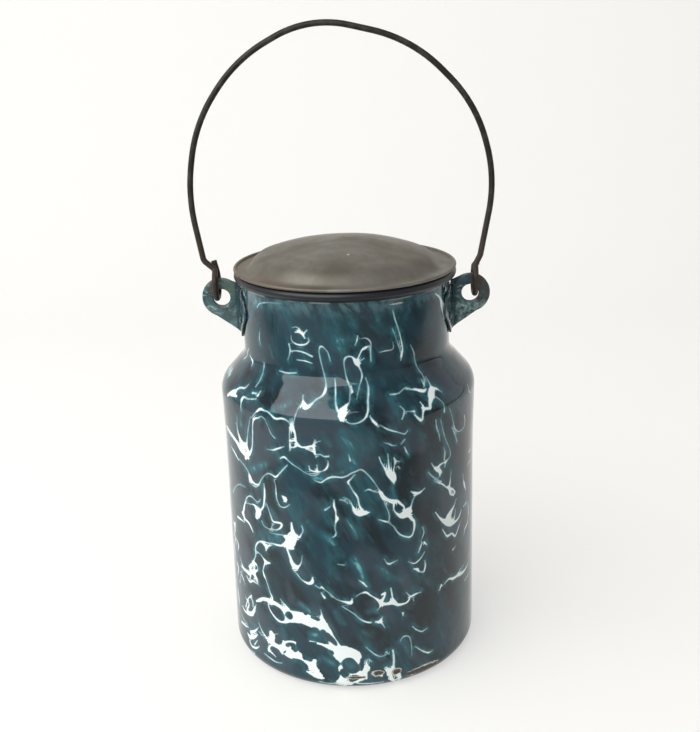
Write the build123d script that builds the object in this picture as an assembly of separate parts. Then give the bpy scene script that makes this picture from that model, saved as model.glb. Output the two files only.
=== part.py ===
from build123d import *
import os
from math import asin, atan2, cos, degrees, hypot, radians, sin, sqrt, tan

# Graniteware milk pail: an enamelled steel can with a shoulder, a neck and a curled rim,
# two riveted ears, a swinging wire bail and a lift-off tin lid.
# Millimetres, +Z up. The pail stands on z = 0 and its axis is Z.
# The front is -Y, and the ears and the bail's swing axis lie along X.

# Can: one drawn sheet, sizes taken on its outer face
wall = 1.0
body_radius = 64.0
body_height = 144.6          # where side and shoulder would meet without their bend
waist_draw = 0.6             # the long side is drawn in a little
waist_drop = 32.6            # from there up to the sharp shoulder
waist_bend = 900.0
shoulder_rise = 14.2
shoulder_bend = 10.5
neck_radius = 51.2
neck_length = 41.2           # from the sharp foot of the neck to the top of the rim
neck_bend = 9.5
base_corner = 6.5
base_recess = 1.5            # the bottom stands this far off the table
foot_ring_width = 11.0       # standing ring, with its rounded outer corner
recess_slope = 3.0
foot_ring_bends = (2.0, 3.0)
curl_radius = 2.15
curl_turn = 280.0            # degrees that the rim's edge is rolled through

# Ears: pressed sheet, each with a saddle foot on the neck and a plate standing out
ear_sheet = 1.2
ear_seat_gap = 0.05
ear_reach = 10.3             # neck's face to the centre of the hole
ear_drop = 14.5              # top of the rim to the centre of the hole
ear_plate = 1.5
ear_ring_thickness = 2.3
ear_ring_width = 5.6         # edge of the hole to the ear's round edge
ear_boss_width = 4.0         # raised ring around the hole
ear_bend = 3.0               # plate to foot
ear_corner_angle = -38.2     # where the round edge ends, below
ear_corner_bend = 2.0
ear_shoulder_angle = 120.7   # where the round edge ends, above
ear_top_rise = 6.5           # plate's upper corner at the neck, above the hole
ear_gusset_drop = 18.4       # plate's lower corner at the neck, below the hole
ear_edge = 0.4
foot_top_rise = 4.0
foot_top_half = 17.0
foot_side_half = 21.8
foot_side_drop = 5.0
foot_low_half = 7.0
foot_margin = 4.2            # neck's bend to the foot's lower edge
foot_corner = 4.5

# Rivets, two in each foot
rivet_side = 13.0            # to each side of the plate
rivet_drop = 8.0             # below the centre of the hole
rivet_shank_radius = 1.25
rivet_hole_gap = 0.05
rivet_head_radius = 1.9
rivet_head_height = 1.0
rivet_tail_height = 0.6
rivet_seat_gap = 0.02

# Bail: one length of wire, hooked through both ears
wire_diameter = 2.9
hole_room = 2.75             # wire in the middle of the hole to the hole's edge
bail_side_room = 10.0        # can's side to the bow's widest corner
bail_rise = 124.6            # swing axis to the crown's corner
bow_corners = (              # shares of the half width and of the rise, from left to right
    (-1.009, 0.353),
    (-0.928, 0.623),
    (-0.650, 0.853),
    (-0.176, 1.000),
    (0.459, 0.911),
    (0.854, 0.675),
    (0.989, 0.398),
)
hook_offset = 2.15           # wire in the hole, outward of the hole's centre
eye_sag = 0.3                # wire in the hole, below the hole's centre
eye_narrowing = 1.3          # the eye is this much less wide than deep, on each side
eye_corner_gap = 0.2
eye_front_rise = 3.7         # where the stem joins the eye in front, above the swing axis
eye_back_rise = 2.5
stem_offset = 2.5
stem_rise = 4.2              # above the ear's top
leg_rise = 12.0
leg_offsets = (7.8, 4.8)     # left and right
tip_bends = ((3.0, 6.0), (2.7, 6.7))             # behind the ear and above the axis
tips = ((3.4, 3.3, 11.2), (4.0, 2.7, 8.0))       # outward, behind and above the axis
leg_bend = 4.0
stem_bend = 2.2
eye_front_bend = 3.4
eye_back_bend = 2.4
tip_bend = 2.0
bow_bend_share = 0.47        # of the shorter run beside each corner

# Lid: tin cap, collar that enters the neck, and the solder that joins them
lid_sheet = 0.5
lid_seat_gap = 0.25
dome_inset = 6.5             # rim's outer edge to the dome's base
dome_height = 13.2
dome_crown_share = 0.375     # of the dome's base radius, where the crown starts to fall
dome_crown_flat = 0.625
dome_shoulder_inset = 5.9    # dome's base to the corner of its shoulder
dome_shoulder_height = 5.0
dome_shoulder_bend = 30.0
dome_base_bend = 3.5
hem_radius = 0.8
collar_sheet = 0.4
collar_gap = 0.35
collar_length = 11.75
solder_leg = 1.0

# Places worked out from the sizes above
wire_radius = wire_diameter / 2
neck_height = body_height + shoulder_rise
rim_height = neck_height + neck_length
shoulder_turn = atan2(body_radius - neck_radius, shoulder_rise)
neck_straight_low = neck_height + neck_bend * tan(shoulder_turn / 2)
neck_inner = neck_radius - wall
curl_centre = (neck_inner + curl_radius, rim_height - curl_radius)
rim_outer = curl_centre[0] + curl_radius
hole_radius = wire_radius + hole_room
ear_round = hole_radius + ear_ring_width
hole_x = neck_radius + ear_reach
hole_z = rim_height - ear_drop
foot_inner = neck_radius + ear_seat_gap
foot_outer = foot_inner + ear_sheet
rivet_angle = degrees(asin(rivet_side / foot_outer))
rivet_z = hole_z - rivet_drop
web_low = sqrt(hole_radius**2 - hook_offset**2)
web_high = sqrt(ear_round**2 - hook_offset**2)
axis_rise = (web_low + web_high) / 2
axis_z = hole_z + axis_rise
lid_seat = rim_height + lid_seat_gap


# The same line moved sideways to its left by a distance, with mitred corners
def beside(points, distance):
    directions = []
    for (x0, z0), (x1, z1) in zip(points, points[1:]):
        length = hypot(x1 - x0, z1 - z0)
        directions.append(((x1 - x0) / length, (z1 - z0) / length))
    before = [directions[0]] + directions
    after = directions + [directions[-1]]
    moved = []
    for (x, z), (ux, uz), (vx, vz) in zip(points, before, after):
        stretch = distance / (1 + ux * vx + uz * vz)
        moved.append((x - (uz + vz) * stretch, z + (ux + vx) * stretch))
    return moved


# Bend radii of the line moved to its left: smaller in left turns, larger in right turns
def beside_bends(points, bends, distance):
    moved = []
    for (x0, z0), (x1, z1), (x2, z2), bend in zip(points, points[1:], points[2:], bends):
        left_turn = (x1 - x0) * (z2 - z1) > (z1 - z0) * (x2 - x1)
        moved.append(bend - distance if left_turn else bend + distance)
    return moved


# Both faces of a sheet in its profile, from the given face to the one on its left
def sheet_faces(points, bends, thickness):
    inner_bends = beside_bends(points, bends, thickness)
    return (
        FilletPolyline(*points, radius=list(bends)),
        FilletPolyline(*beside(points, thickness), radius=inner_bends),
    )


# Closed outline drawn in radius and height
def profile(*lines):
    edges = []
    for line in lines:
        edges += line.edges()
    return make_face(edges)


# Solid of revolution about the pail's axis
def turned(face):
    return revolve(Plane.XZ * face, Axis.Z)


# Radial drilling through foot and neck, or anything else laid along the same lines
def on_rivet_lines(shape):
    copies = []
    for centre_angle in (0, 180):
        for side_angle in (-rivet_angle, rivet_angle):
            place = Rot(0, 0, centre_angle + side_angle) * Pos(0, 0, rivet_z) * Rot(0, 90, 0)
            copies.append(place * shape)
    return copies


def rivet_drilling():
    depth = foot_outer + wall
    return Pos(0, 0, depth / 2) * Cylinder(rivet_shank_radius + rivet_hole_gap, depth)


def can_body():
    ring_inner = body_radius - foot_ring_width
    outside = [
        (0, base_recess),
        (ring_inner - recess_slope, base_recess),
        (ring_inner, 0),
        (body_radius, 0),
        (body_radius - waist_draw, body_height - waist_drop),
        (body_radius, body_height),
        (neck_radius, neck_height),
        (neck_radius, curl_centre[1]),
    ]
    bends = (*foot_ring_bends, base_corner, waist_bend, shoulder_bend, neck_bend)
    outer, inner = sheet_faces(outside, bends, wall)
    hollow = CenterArc(curl_centre, curl_radius - wall, 180, -curl_turn)
    roll = CenterArc(curl_centre, curl_radius, 180 - curl_turn, curl_turn)
    edge = Line(hollow @ 1, roll @ 0)
    axis = Line((0, base_recess), (0, base_recess + wall))
    can = turned(profile(outer, hollow, edge, roll, inner, axis))
    for drilling in on_rivet_lines(rivet_drilling()):
        can -= drilling
    return can


# Plan of an ear: the saddle on the neck and the plate, with a bend on each side
def ear_plan():
    saddle = Circle(foot_outer) - Circle(foot_inner)
    saddle &= Pos(foot_outer / 2, 0) * Rectangle(foot_outer, 2 * foot_side_half)
    plate_start = (foot_inner + foot_outer) / 2
    plate_end = hole_x + ear_round
    plate = Pos((plate_start + plate_end) / 2, 0) * Rectangle(plate_end - plate_start, ear_plate)
    plan = saddle + plate
    root = sqrt(foot_outer**2 - (ear_plate / 2) ** 2)
    corners = [v for v in plan.vertices() if abs(v.X - root) < 0.01 and abs(v.Y) < ear_plate]
    return fillet(corners, ear_bend)


# Front view of the plate, placed at the hole's centre
def ear_side_view():
    neck_side = (foot_inner + foot_outer) / 2 - hole_x
    corner = radians(ear_corner_angle)
    shoulder = radians(ear_shoulder_angle)
    outline = Polyline(
        (neck_side, ear_top_rise),
        (ear_round * cos(shoulder), ear_round * sin(shoulder)),
        (ear_round * cos(corner), ear_round * sin(corner)),
        (neck_side, -ear_gusset_drop),
        close=True,
    )
    view = make_face(outline) + Circle(ear_round)
    low = [v for v in view.vertices() if v.Y < 0 and v.X > 0]
    low = sorted(low, key=lambda v: abs(v.X - ear_round * cos(corner)))[:1]
    return fillet(low, ear_corner_bend)


# The foot as seen along X, placed at the hole's centre
def foot_end_view():
    foot_low = neck_straight_low + foot_margin - hole_z
    outline = FilletPolyline(
        (-foot_top_half, foot_top_rise),
        (foot_top_half, foot_top_rise),
        (foot_side_half, -foot_side_drop),
        (foot_low_half, foot_low),
        (-foot_low_half, foot_low),
        (-foot_side_half, -foot_side_drop),
        radius=foot_corner,
        close=True,
    )
    return make_face(outline.edges())


def right_ear():
    length = 2 * (ear_round + ear_gusset_drop)
    centre = Pos(hole_x, 0, hole_z)
    plan = Pos(0, 0, hole_z - length / 2) * extrude(ear_plan(), length)
    plate_view = centre * extrude(Plane.XZ * ear_side_view(), foot_outer, both=True)
    foot_band = Box(foot_outer, 2 * foot_side_half, length, align=(Align.MIN, Align.CENTER, Align.CENTER))
    foot_view = Pos(0, 0, hole_z) * extrude(Plane.YZ * foot_end_view(), foot_outer)
    bend_view = Pos(0, 0, hole_z) * extrude(Plane.YZ * foot_end_view(), hole_x + ear_round)
    blade = Pos(hole_x, 0, hole_z) * Box(2 * (ear_round + ear_reach), ear_plate, length)
    foot = plan & foot_view & (Pos(0, 0, hole_z) * foot_band)
    plate = plan & plate_view & (bend_view + blade)
    boss_radius = hole_radius + ear_boss_width
    boss_rise = ear_round - boss_radius
    boss = centre * Pos(0, 0, boss_rise) * Rot(90, 0, 0) * Cylinder(boss_radius, ear_ring_thickness)
    hole = centre * Rot(90, 0, 0) * Cylinder(hole_radius, 2 * ear_ring_thickness)
    boss = fillet((boss - hole).edges().filter_by(GeomType.CIRCLE), ear_edge)
    ear = foot + (plate - hole) + boss
    for drilling in on_rivet_lines(rivet_drilling()):
        ear -= drilling
    return ear


# One rivet along Z, measured from the pail's axis: tail inside, head outside
def rivet():
    tail_face = sqrt(neck_inner**2 - rivet_head_radius**2) - rivet_seat_gap
    head_face = foot_outer + rivet_seat_gap
    tail_end = tail_face - rivet_tail_height
    dome_radius = (rivet_head_radius**2 + rivet_head_height**2) / (2 * rivet_head_height)
    dome_centre = head_face + rivet_head_height - dome_radius
    dome_reach = degrees(asin(rivet_head_radius / dome_radius))
    outline = (
        Polyline(
            (0, tail_end),
            (rivet_head_radius, tail_end),
            (rivet_head_radius, tail_face),
            (rivet_shank_radius, tail_face),
            (rivet_shank_radius, head_face),
            (rivet_head_radius, head_face),
        ),
        CenterArc((0, dome_centre), dome_radius, 90 - dome_reach, dome_reach),
        Line((0, dome_centre + dome_radius), (0, tail_end)),
    )
    return turned(profile(*outline))


def ear_rivets():
    return Compound(children=on_rivet_lines(rivet()))


# Largest bend that the runs beside each corner leave room for
def widest_bend(before, corner, after):
    run_in = Vector(corner) - Vector(before)
    run_out = Vector(after) - Vector(corner)
    turn = radians(run_in.get_angle(run_out))
    return bow_bend_share * min(run_in.length, run_out.length) / tan(turn / 2)


# Corners and bends of one hook, from the leg to the tip; side is -1 on the left, 1 on the right
def hook_route(side):
    index = 0 if side < 0 else 1
    eye_depth = axis_rise + eye_sag
    eye_half = eye_depth - eye_narrowing
    ear_top = ear_round - axis_rise
    tip_back, tip_height = tip_bends[index]
    route = (
        (leg_offsets[index], 0, leg_rise, leg_bend),
        (stem_offset, 0, ear_top + stem_rise, stem_bend),
        (hook_offset, -eye_half, eye_front_rise, eye_front_bend),
        (hook_offset, -eye_half, -eye_depth, eye_half - eye_corner_gap),
        (hook_offset, eye_half, -eye_depth, eye_half - eye_corner_gap),
        (hook_offset, eye_half, eye_back_rise, eye_back_bend),
        (hook_offset, tip_back, tip_height, tip_bend),
        (*tips[index], 0),
    )
    corners = [(side * (hole_x + out), back, axis_z + up) for out, back, up, bend in route]
    bends = [bend for out, back, up, bend in route]
    return corners, bends


def bail_wire():
    half_width = body_radius + bail_side_room
    bow = [(x * half_width, 0, axis_z + z * bail_rise) for x, z in bow_corners]
    left, left_bends = hook_route(-1)
    right, right_bends = hook_route(1)
    bow_bends = []
    run = [left[0]] + bow + [right[0]]
    for before, corner, after in zip(run, run[1:], run[2:]):
        bow_bends.append(widest_bend(before, corner, after))
    corners = left[::-1] + bow + right
    bends = left_bends[::-1][1:] + bow_bends + right_bends[:-1]
    path = FilletPolyline(*corners, radius=bends)
    section = Plane(origin=path @ 0, z_dir=path % 0) * Circle(wire_radius)
    return sweep(section, path=path)


def lid_cap():
    dome_base = rim_outer - dome_inset
    dome_corner = dome_base - dome_shoulder_inset
    dome_crown = dome_base * dome_crown_share
    crown_fall = atan2(dome_height - dome_shoulder_height, dome_corner - dome_crown)
    crown_bend = (dome_crown - dome_crown_flat) / tan(crown_fall / 2)
    hem_centre = rim_outer - hem_radius
    under = [
        (0, lid_seat + dome_height),
        (dome_crown, lid_seat + dome_height),
        (dome_corner, lid_seat + dome_shoulder_height),
        (dome_base, lid_seat),
        (hem_centre, lid_seat),
    ]
    bends = (crown_bend, dome_shoulder_bend, dome_base_bend)
    lower, upper = sheet_faces(under, bends, lid_sheet)
    sheet = profile(lower, upper, Line(lower @ 0, upper @ 0), Line(lower @ 1, upper @ 1))
    hem = Pos(hem_centre, lid_seat + hem_radius) * Circle(hem_radius)
    return turned(sheet + hem)


def lid_collar():
    outer = neck_inner - collar_gap
    ring = Circle(outer) - Circle(outer - collar_sheet)
    return Pos(0, 0, lid_seat - collar_length) * extrude(ring, collar_length)


def lid_solder():
    corner = (neck_inner - collar_gap, lid_seat)
    outline = Polyline(
        corner,
        (corner[0] + solder_leg, corner[1]),
        (corner[0], corner[1] - solder_leg),
        close=True,
    )
    return turned(make_face(outline))


ear_right = right_ear()
nodes = {
    "can_body": can_body(),
    "ear_right": ear_right,
    "ear_left": mirror(ear_right, about=Plane.YZ),
    "ear_rivets": ear_rivets(),
    "bail_wire": bail_wire(),
    "lid_cap": lid_cap(),
    "lid_collar": lid_collar(),
    "lid_solder": lid_solder(),
}

os.makedirs("parts", exist_ok=True)
for name, shape in nodes.items():
    export_step(shape, f"parts/{name}.step")
print(f"swing axis at z = {axis_z:.3f}, rim at z = {rim_height:.1f}, hole centres at x = {hole_x:.2f}")
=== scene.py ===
from functools import reduce
from math import atan2, ceil, cos, degrees, exp, log, pi, radians, sin, tan

import bpy
from mathutils import Matrix, Vector, kdtree, noise


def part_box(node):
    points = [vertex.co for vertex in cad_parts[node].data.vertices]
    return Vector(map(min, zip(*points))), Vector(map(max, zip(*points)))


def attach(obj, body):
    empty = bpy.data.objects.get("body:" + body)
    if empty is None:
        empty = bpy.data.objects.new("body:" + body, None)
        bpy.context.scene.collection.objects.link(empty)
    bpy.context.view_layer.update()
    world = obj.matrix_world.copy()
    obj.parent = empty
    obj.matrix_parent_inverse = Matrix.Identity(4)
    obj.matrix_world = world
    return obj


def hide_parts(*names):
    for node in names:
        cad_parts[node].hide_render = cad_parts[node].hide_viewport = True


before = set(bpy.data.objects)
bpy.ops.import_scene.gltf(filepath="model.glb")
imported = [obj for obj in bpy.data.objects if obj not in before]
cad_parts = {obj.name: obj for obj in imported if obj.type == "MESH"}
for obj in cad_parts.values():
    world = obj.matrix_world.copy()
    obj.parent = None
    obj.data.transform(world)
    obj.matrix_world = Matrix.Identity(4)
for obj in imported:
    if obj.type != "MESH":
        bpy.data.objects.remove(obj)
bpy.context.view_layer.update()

mm = 0.001


# Colours are written as hex codes and used as linear values
def shade(code):
    channels = [int(code[i:i + 2], 16) / 255 for i in (0, 2, 4)]
    return (*[c / 12.92 if c <= 0.04045 else ((c + 0.055) / 1.055) ** 2.4 for c in channels], 1.0)


# Fills one node tree; values are numbers, colours or other sockets
class nodeBench:
    def __init__(self, tree):
        self.tree = tree
        tree.nodes.clear()

    def node(self, kind, values={}, **settings):
        node = self.tree.nodes.new(kind)
        for key, setting in settings.items():
            setattr(node, key, setting)
        for socket, value in values.items():
            if isinstance(value, bpy.types.NodeSocket):
                self.tree.links.new(value, node.inputs[socket])
            else:
                node.inputs[socket].default_value = value
        return node

    def add(self, kind, values={}, out=0, **settings):
        return self.node(kind, values, **settings).outputs[out]

    def math(self, operation, *values):
        return self.add("ShaderNodeMath", dict(enumerate(values)), operation=operation)

    def vector(self, operation, *values):
        return self.add("ShaderNodeVectorMath", dict(enumerate(values)), operation=operation)

    def plus(self, first, second):
        return self.math("ADD", first, second)

    def minus(self, first, second):
        return self.math("SUBTRACT", first, second)

    def times(self, *values):
        return reduce(lambda first, second: self.math("MULTIPLY", first, second), values)

    def ramp(self, value, low, high, start=0.0, end=1.0, kind="LINEAR"):
        values = {"Value": value, "From Min": low, "From Max": high, "To Min": start, "To Max": end}
        return self.add("ShaderNodeMapRange", values, interpolation_type=kind)

    def mix(self, share, first, second):
        return self.add("ShaderNodeMix", {0: share, 6: first, 7: second}, 2, data_type="RGBA")


# Builds one material around a Principled shader
class finishBench(nodeBench):
    def __init__(self, name):
        self.material = bpy.data.materials.new(name)
        self.material.use_nodes = True
        super().__init__(self.material.node_tree)
        # places are read in millimetres
        place = {0: self.add("ShaderNodeTexCoord", out="Object"), "Scale": 1 / mm}
        self.place = self.add("ShaderNodeVectorMath", place, operation="SCALE")
        self.x, self.y, self.z = self.node("ShaderNodeSeparateXYZ", {0: self.place}).outputs

    def finish(self, surface):
        self.node("ShaderNodeOutputMaterial", {0: surface})
        return self.material

    def shader(self, **values):
        values = {socket.replace("_", " "): value for socket, value in values.items()}
        return self.add("ShaderNodeBsdfPrincipled", values)

    # goes smoothly from start to end while the value goes from low to high
    def step(self, value, low, high, start=0.0, end=1.0):
        return self.ramp(value, low, high, start, end, "SMOOTHSTEP")

    # lays a colour over another by the product of the shares
    def over(self, colour, top, *shares):
        return self.mix(self.times(*shares), colour, top)

    def blend(self, share, first, second):
        return self.add("ShaderNodeMix", {0: share, 2: first, 3: second}, data_type="FLOAT")

    def noise(self, place, size, detail=3.0, roughness=0.5, out="Fac"):
        values = {"Vector": place, "Scale": 1 / size, "Detail": detail, "Roughness": roughness}
        return self.add("ShaderNodeTexNoise", values, out)

    # the place pushed about by a noise of this size, up to the reach
    def swirled(self, place, size, reach, detail=2.0):
        push = self.vector("SUBTRACT", self.noise(place, size, detail, out="Color"), (0.5, 0.5, 0.5))
        return self.vector("ADD", place, self.vector("MULTIPLY", push, (2 * reach,) * 3))

    def attribute(self, name, out="Fac"):
        return self.add("ShaderNodeAttribute", out=out, attribute_name=name)

    def relief(self, height, distance, strength=1.0, under=None):
        values = {"Height": height, "Distance": distance * mm, "Strength": strength}
        return self.add("ShaderNodeBump", {**values, "Normal": under} if under else values)


def newPiece(name, vertices, faces, materials, slots=None):
    mesh = bpy.data.meshes.new(name)
    mesh.from_pydata(vertices, [], faces)
    for material in materials:
        mesh.materials.append(material)
    if slots:
        mesh.polygons.foreach_set("material_index", slots)
    mesh.polygons.foreach_set("use_smooth", [True] * len(faces))
    mesh.update()
    piece = bpy.data.objects.new(name, mesh)
    bpy.context.scene.collection.objects.link(piece)
    return piece


# Points along straight runs joined by arcs; steps holds the spacing wanted on each run
def bentLine(corners, bends, steps, arcStep):
    corners = [Vector(c) for c in corners]
    points = [corners[0]]

    def runTo(end, step):
        start = points[-1]
        count = max(1, ceil((end - start).length / step))
        points.extend(start.lerp(end, i / count) for i in range(1, count + 1))

    for i, bend in enumerate(bends, 1):
        back = (corners[i - 1] - corners[i]).normalized()
        ahead = (corners[i + 1] - corners[i]).normalized()
        half = back.angle(ahead) / 2
        start = corners[i] + back * bend / tan(half)
        centre = corners[i] + (back + ahead).normalized() * bend / sin(half)
        runTo(start, steps[i - 1])
        first = start - centre
        onward = -back * bend
        turn = pi - 2 * half
        count = max(3, ceil(turn * bend / arcStep))
        for k in range(1, count + 1):
            angle = turn * k / count
            points.append(centre + first * cos(angle) + onward * sin(angle))
    runTo(corners[-1], steps[-1])
    return points


# The other face of a sheet whose first face is this line
def offsetLine(line, thickness):
    points = []
    for before, point, after in zip(line, line[1:], line[2:]):
        along = (after - before).normalized()
        points.append(point + Vector((-along.z, 0, along.x)) * thickness)
    return points


# A closed turned shell: the profile starts and ends on the axis, with its outside on the right
def turnedPiece(name, profile, angles, materials, slotOf=lambda ring: 0, push=None):
    rings = profile[1:-1]
    around = len(angles)
    vertices = []
    for j, point in enumerate(rings, 1):
        along = (profile[j + 1] - profile[j - 1]).normalized()
        for angle in angles:
            out = Vector((sin(angle), -cos(angle), 0))
            place = out * point.x + Vector((0, 0, point.z))
            if push:
                place = push(place, out * along.z - Vector((0, 0, along.x)), j)
            vertices.append(place)
    first, last = len(vertices), len(vertices) + 1
    vertices += [Vector((0, 0, profile[0].z)), Vector((0, 0, profile[-1].z))]
    faces, slots = [], []
    for j in range(len(rings) - 1):
        for i in range(around):
            k = (i + 1) % around
            low, high = j * around, (j + 1) * around
            faces.append((low + i, low + k, high + k, high + i))
            slots.append(slotOf(j))
    top = (len(rings) - 1) * around
    for i in range(around):
        k = (i + 1) % around
        faces += [(first, k, i), (last, top + i, top + k)]
        slots += [slotOf(0), slotOf(len(rings) - 2)]
    return newPiece(name, vertices, faces, materials, slots)


# Camera: where the photograph was taken from, in the pail's own frame
camera = {
    "place": (16.6 * mm, -499.7 * mm, 314.9 * mm),
    "aim": (1.2 * mm, 0.0, 148.1 * mm),
    "right": (0.99941, 0.02181, -0.02655),  # held a little crooked
    "lens": 51.13,
    "sensor": 36.0,
    "frame": (700, 732),  # the photograph's pixels
}


def placeCamera(sizes):
    data = bpy.data.cameras.new("camera")
    data.sensor_width = sizes["sensor"]
    data.lens = sizes["lens"]
    holder = bpy.data.objects.new("camera", data)
    bpy.context.scene.collection.objects.link(holder)
    place = Vector(sizes["place"])
    back = (place - Vector(sizes["aim"])).normalized()
    up = back.cross(Vector(sizes["right"])).normalized()
    right = up.cross(back)
    turn = Matrix((right, up, back)).transposed()
    holder.matrix_world = Matrix.Translation(place) @ turn.to_4x4()
    bpy.context.scene.camera = holder


placeCamera(camera)
print("camera placed")


# Studio: a pale sheet that curves up behind the pail, an even sky and a large window in front on the left
studio = {
    "sheetHalfWidth": 1.6,
    "sheetFront": -0.9,
    "sheetBack": 1.1,
    "sheetBend": 0.5,
    "sheetHeight": 1.6,
    "sheetSteps": (0.5, 0.05),  # spacing on the flat runs and round the bend
    "sheetColour": (0.90, 0.885, 0.85, 1.0),
    "sheetRoughness": 0.9,
    "sheetGloss": 0.1,
    "seenColour": (1.0, 0.995, 0.975, 1.0),
    # painted shade: the grey sheet in front of the view stands in for the darkness there
    "nearShadeColour": (0.50, 0.50, 0.49, 1.0),
    "nearShadeEdge": (-115.0, -200.0),  # where the sheet turns grey in front of the view, in millimetres
    "sideShadeColour": (0.30, 0.30, 0.30, 1.0),
    "sideShadeEdge": (430.0, 760.0),  # between these distances to the side the sheet darkens into painted shade, in millimetres
    "sideShadeSlant": 0.9,
    "whiteShare": 0.5,  # of the sheet as it is seen, so that it renders white and keeps its shadow
    "skyFront": (0.46, 0.475, 0.49, 1.0),
    "skyBack": (0.86, 0.86, 0.86, 1.0),
    "skyAbove": (0.30, 0.30, 0.31, 1.0),
    "skyDepth": (-0.3, 0.5),
    "skyRise": (0.35, 0.85),
    "lampAim": (0, 0, 0.12),
    "lamps": (  # name, place, width, height, power, shows in reflections
        ("window", (-0.71, -0.91, 1.02), 1.80, 1.30, 24.0, True),
        ("leftLamp", (-1.15, 0.10, 0.95), 0.80, 0.80, 4.0, False),
        ("ceiling", (-0.05, 0.20, 1.55), 1.10, 1.10, 3.0, False),
    ),
}


def paperFinish(look):
    m = finishBench("paper")
    # painted shade: far outside the view the sheet darkens towards the sides, so that the pail's edges
    # reflect less white
    aside = m.minus(m.math("ABSOLUTE", m.x), m.times(m.y, look["sideShadeSlant"]))
    table = m.step(aside, *look["sideShadeEdge"])
    # painted shade: in front of the view the sheet turns grey, standing in for the darkness in front of the
    # pail, and the lower half of the pail reflects that
    near = m.step(m.y, *look["nearShadeEdge"])
    rays = m.node("ShaderNodeLightPath").outputs
    seen = m.math("MAXIMUM", rays["Is Glossy Ray"], rays["Is Transmission Ray"])
    seen = m.math("MAXIMUM", rays["Is Camera Ray"], seen)
    white = m.mix(near, look["seenColour"], look["nearShadeColour"])
    sheet = m.mix(near, look["sheetColour"], look["nearShadeColour"])
    sheet = m.mix(table, sheet, look["sideShadeColour"])
    rough, gloss = look["sheetRoughness"], look["sheetGloss"]
    surface = {
        0: m.times(seen, look["whiteShare"], m.minus(1.0, table)),
        1: m.shader(Base_Color=sheet, Roughness=rough, Specular_IOR_Level=gloss),
        2: m.add("ShaderNodeEmission", {"Color": white, "Strength": 1.0}),
    }
    return m.finish(m.add("ShaderNodeMixShader", surface))


def buildStudio(sizes):
    corners = (
        (0, sizes["sheetFront"], 0),
        (0, sizes["sheetBack"], 0),
        (0, sizes["sheetBack"], sizes["sheetHeight"]),
    )
    flatStep, bendStep = sizes["sheetSteps"]
    line = bentLine(corners, (sizes["sheetBend"],), (flatStep, flatStep), bendStep)
    half = sizes["sheetHalfWidth"]
    vertices = [(side * half, p.y, p.z) for p in line for side in (-1, 1)]
    faces = [(2 * i, 2 * i + 1, 2 * i + 3, 2 * i + 2) for i in range(len(line) - 1)]
    newPiece("paperSheet", vertices, faces, [paperFinish(sizes)])

    world = bpy.data.worlds.new("sky")
    world.use_nodes = True
    bpy.context.scene.world = world
    sky = nodeBench(world.node_tree)
    direction = {0: sky.add("ShaderNodeTexCoord", out="Generated")}
    direction = sky.node("ShaderNodeSeparateXYZ", direction).outputs
    around = sky.mix(sky.ramp(direction["Y"], *sizes["skyDepth"]), sizes["skyFront"], sizes["skyBack"])
    colour = sky.mix(sky.ramp(direction["Z"], *sizes["skyRise"]), around, sizes["skyAbove"])
    sky.node("ShaderNodeOutputWorld", {0: sky.add("ShaderNodeBackground", {"Color": colour})})

    for name, place, width, height, power, reflected in sizes["lamps"]:
        data = bpy.data.lights.new(name, "AREA")
        data.shape = "RECTANGLE"
        data.size, data.size_y, data.energy = width, height, power
        lamp = bpy.data.objects.new(name, data)
        bpy.context.scene.collection.objects.link(lamp)
        lamp.location = place
        toPail = Vector(sizes["lampAim"]) - Vector(place)
        lamp.rotation_euler = toPail.to_track_quat("-Z", "Y").to_euler()
        lamp.visible_camera = False
        lamp.visible_glossy = reflected
    bpy.context.scene.view_settings.view_transform = "Standard"


buildStudio(studio)
print("studio built")
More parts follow.
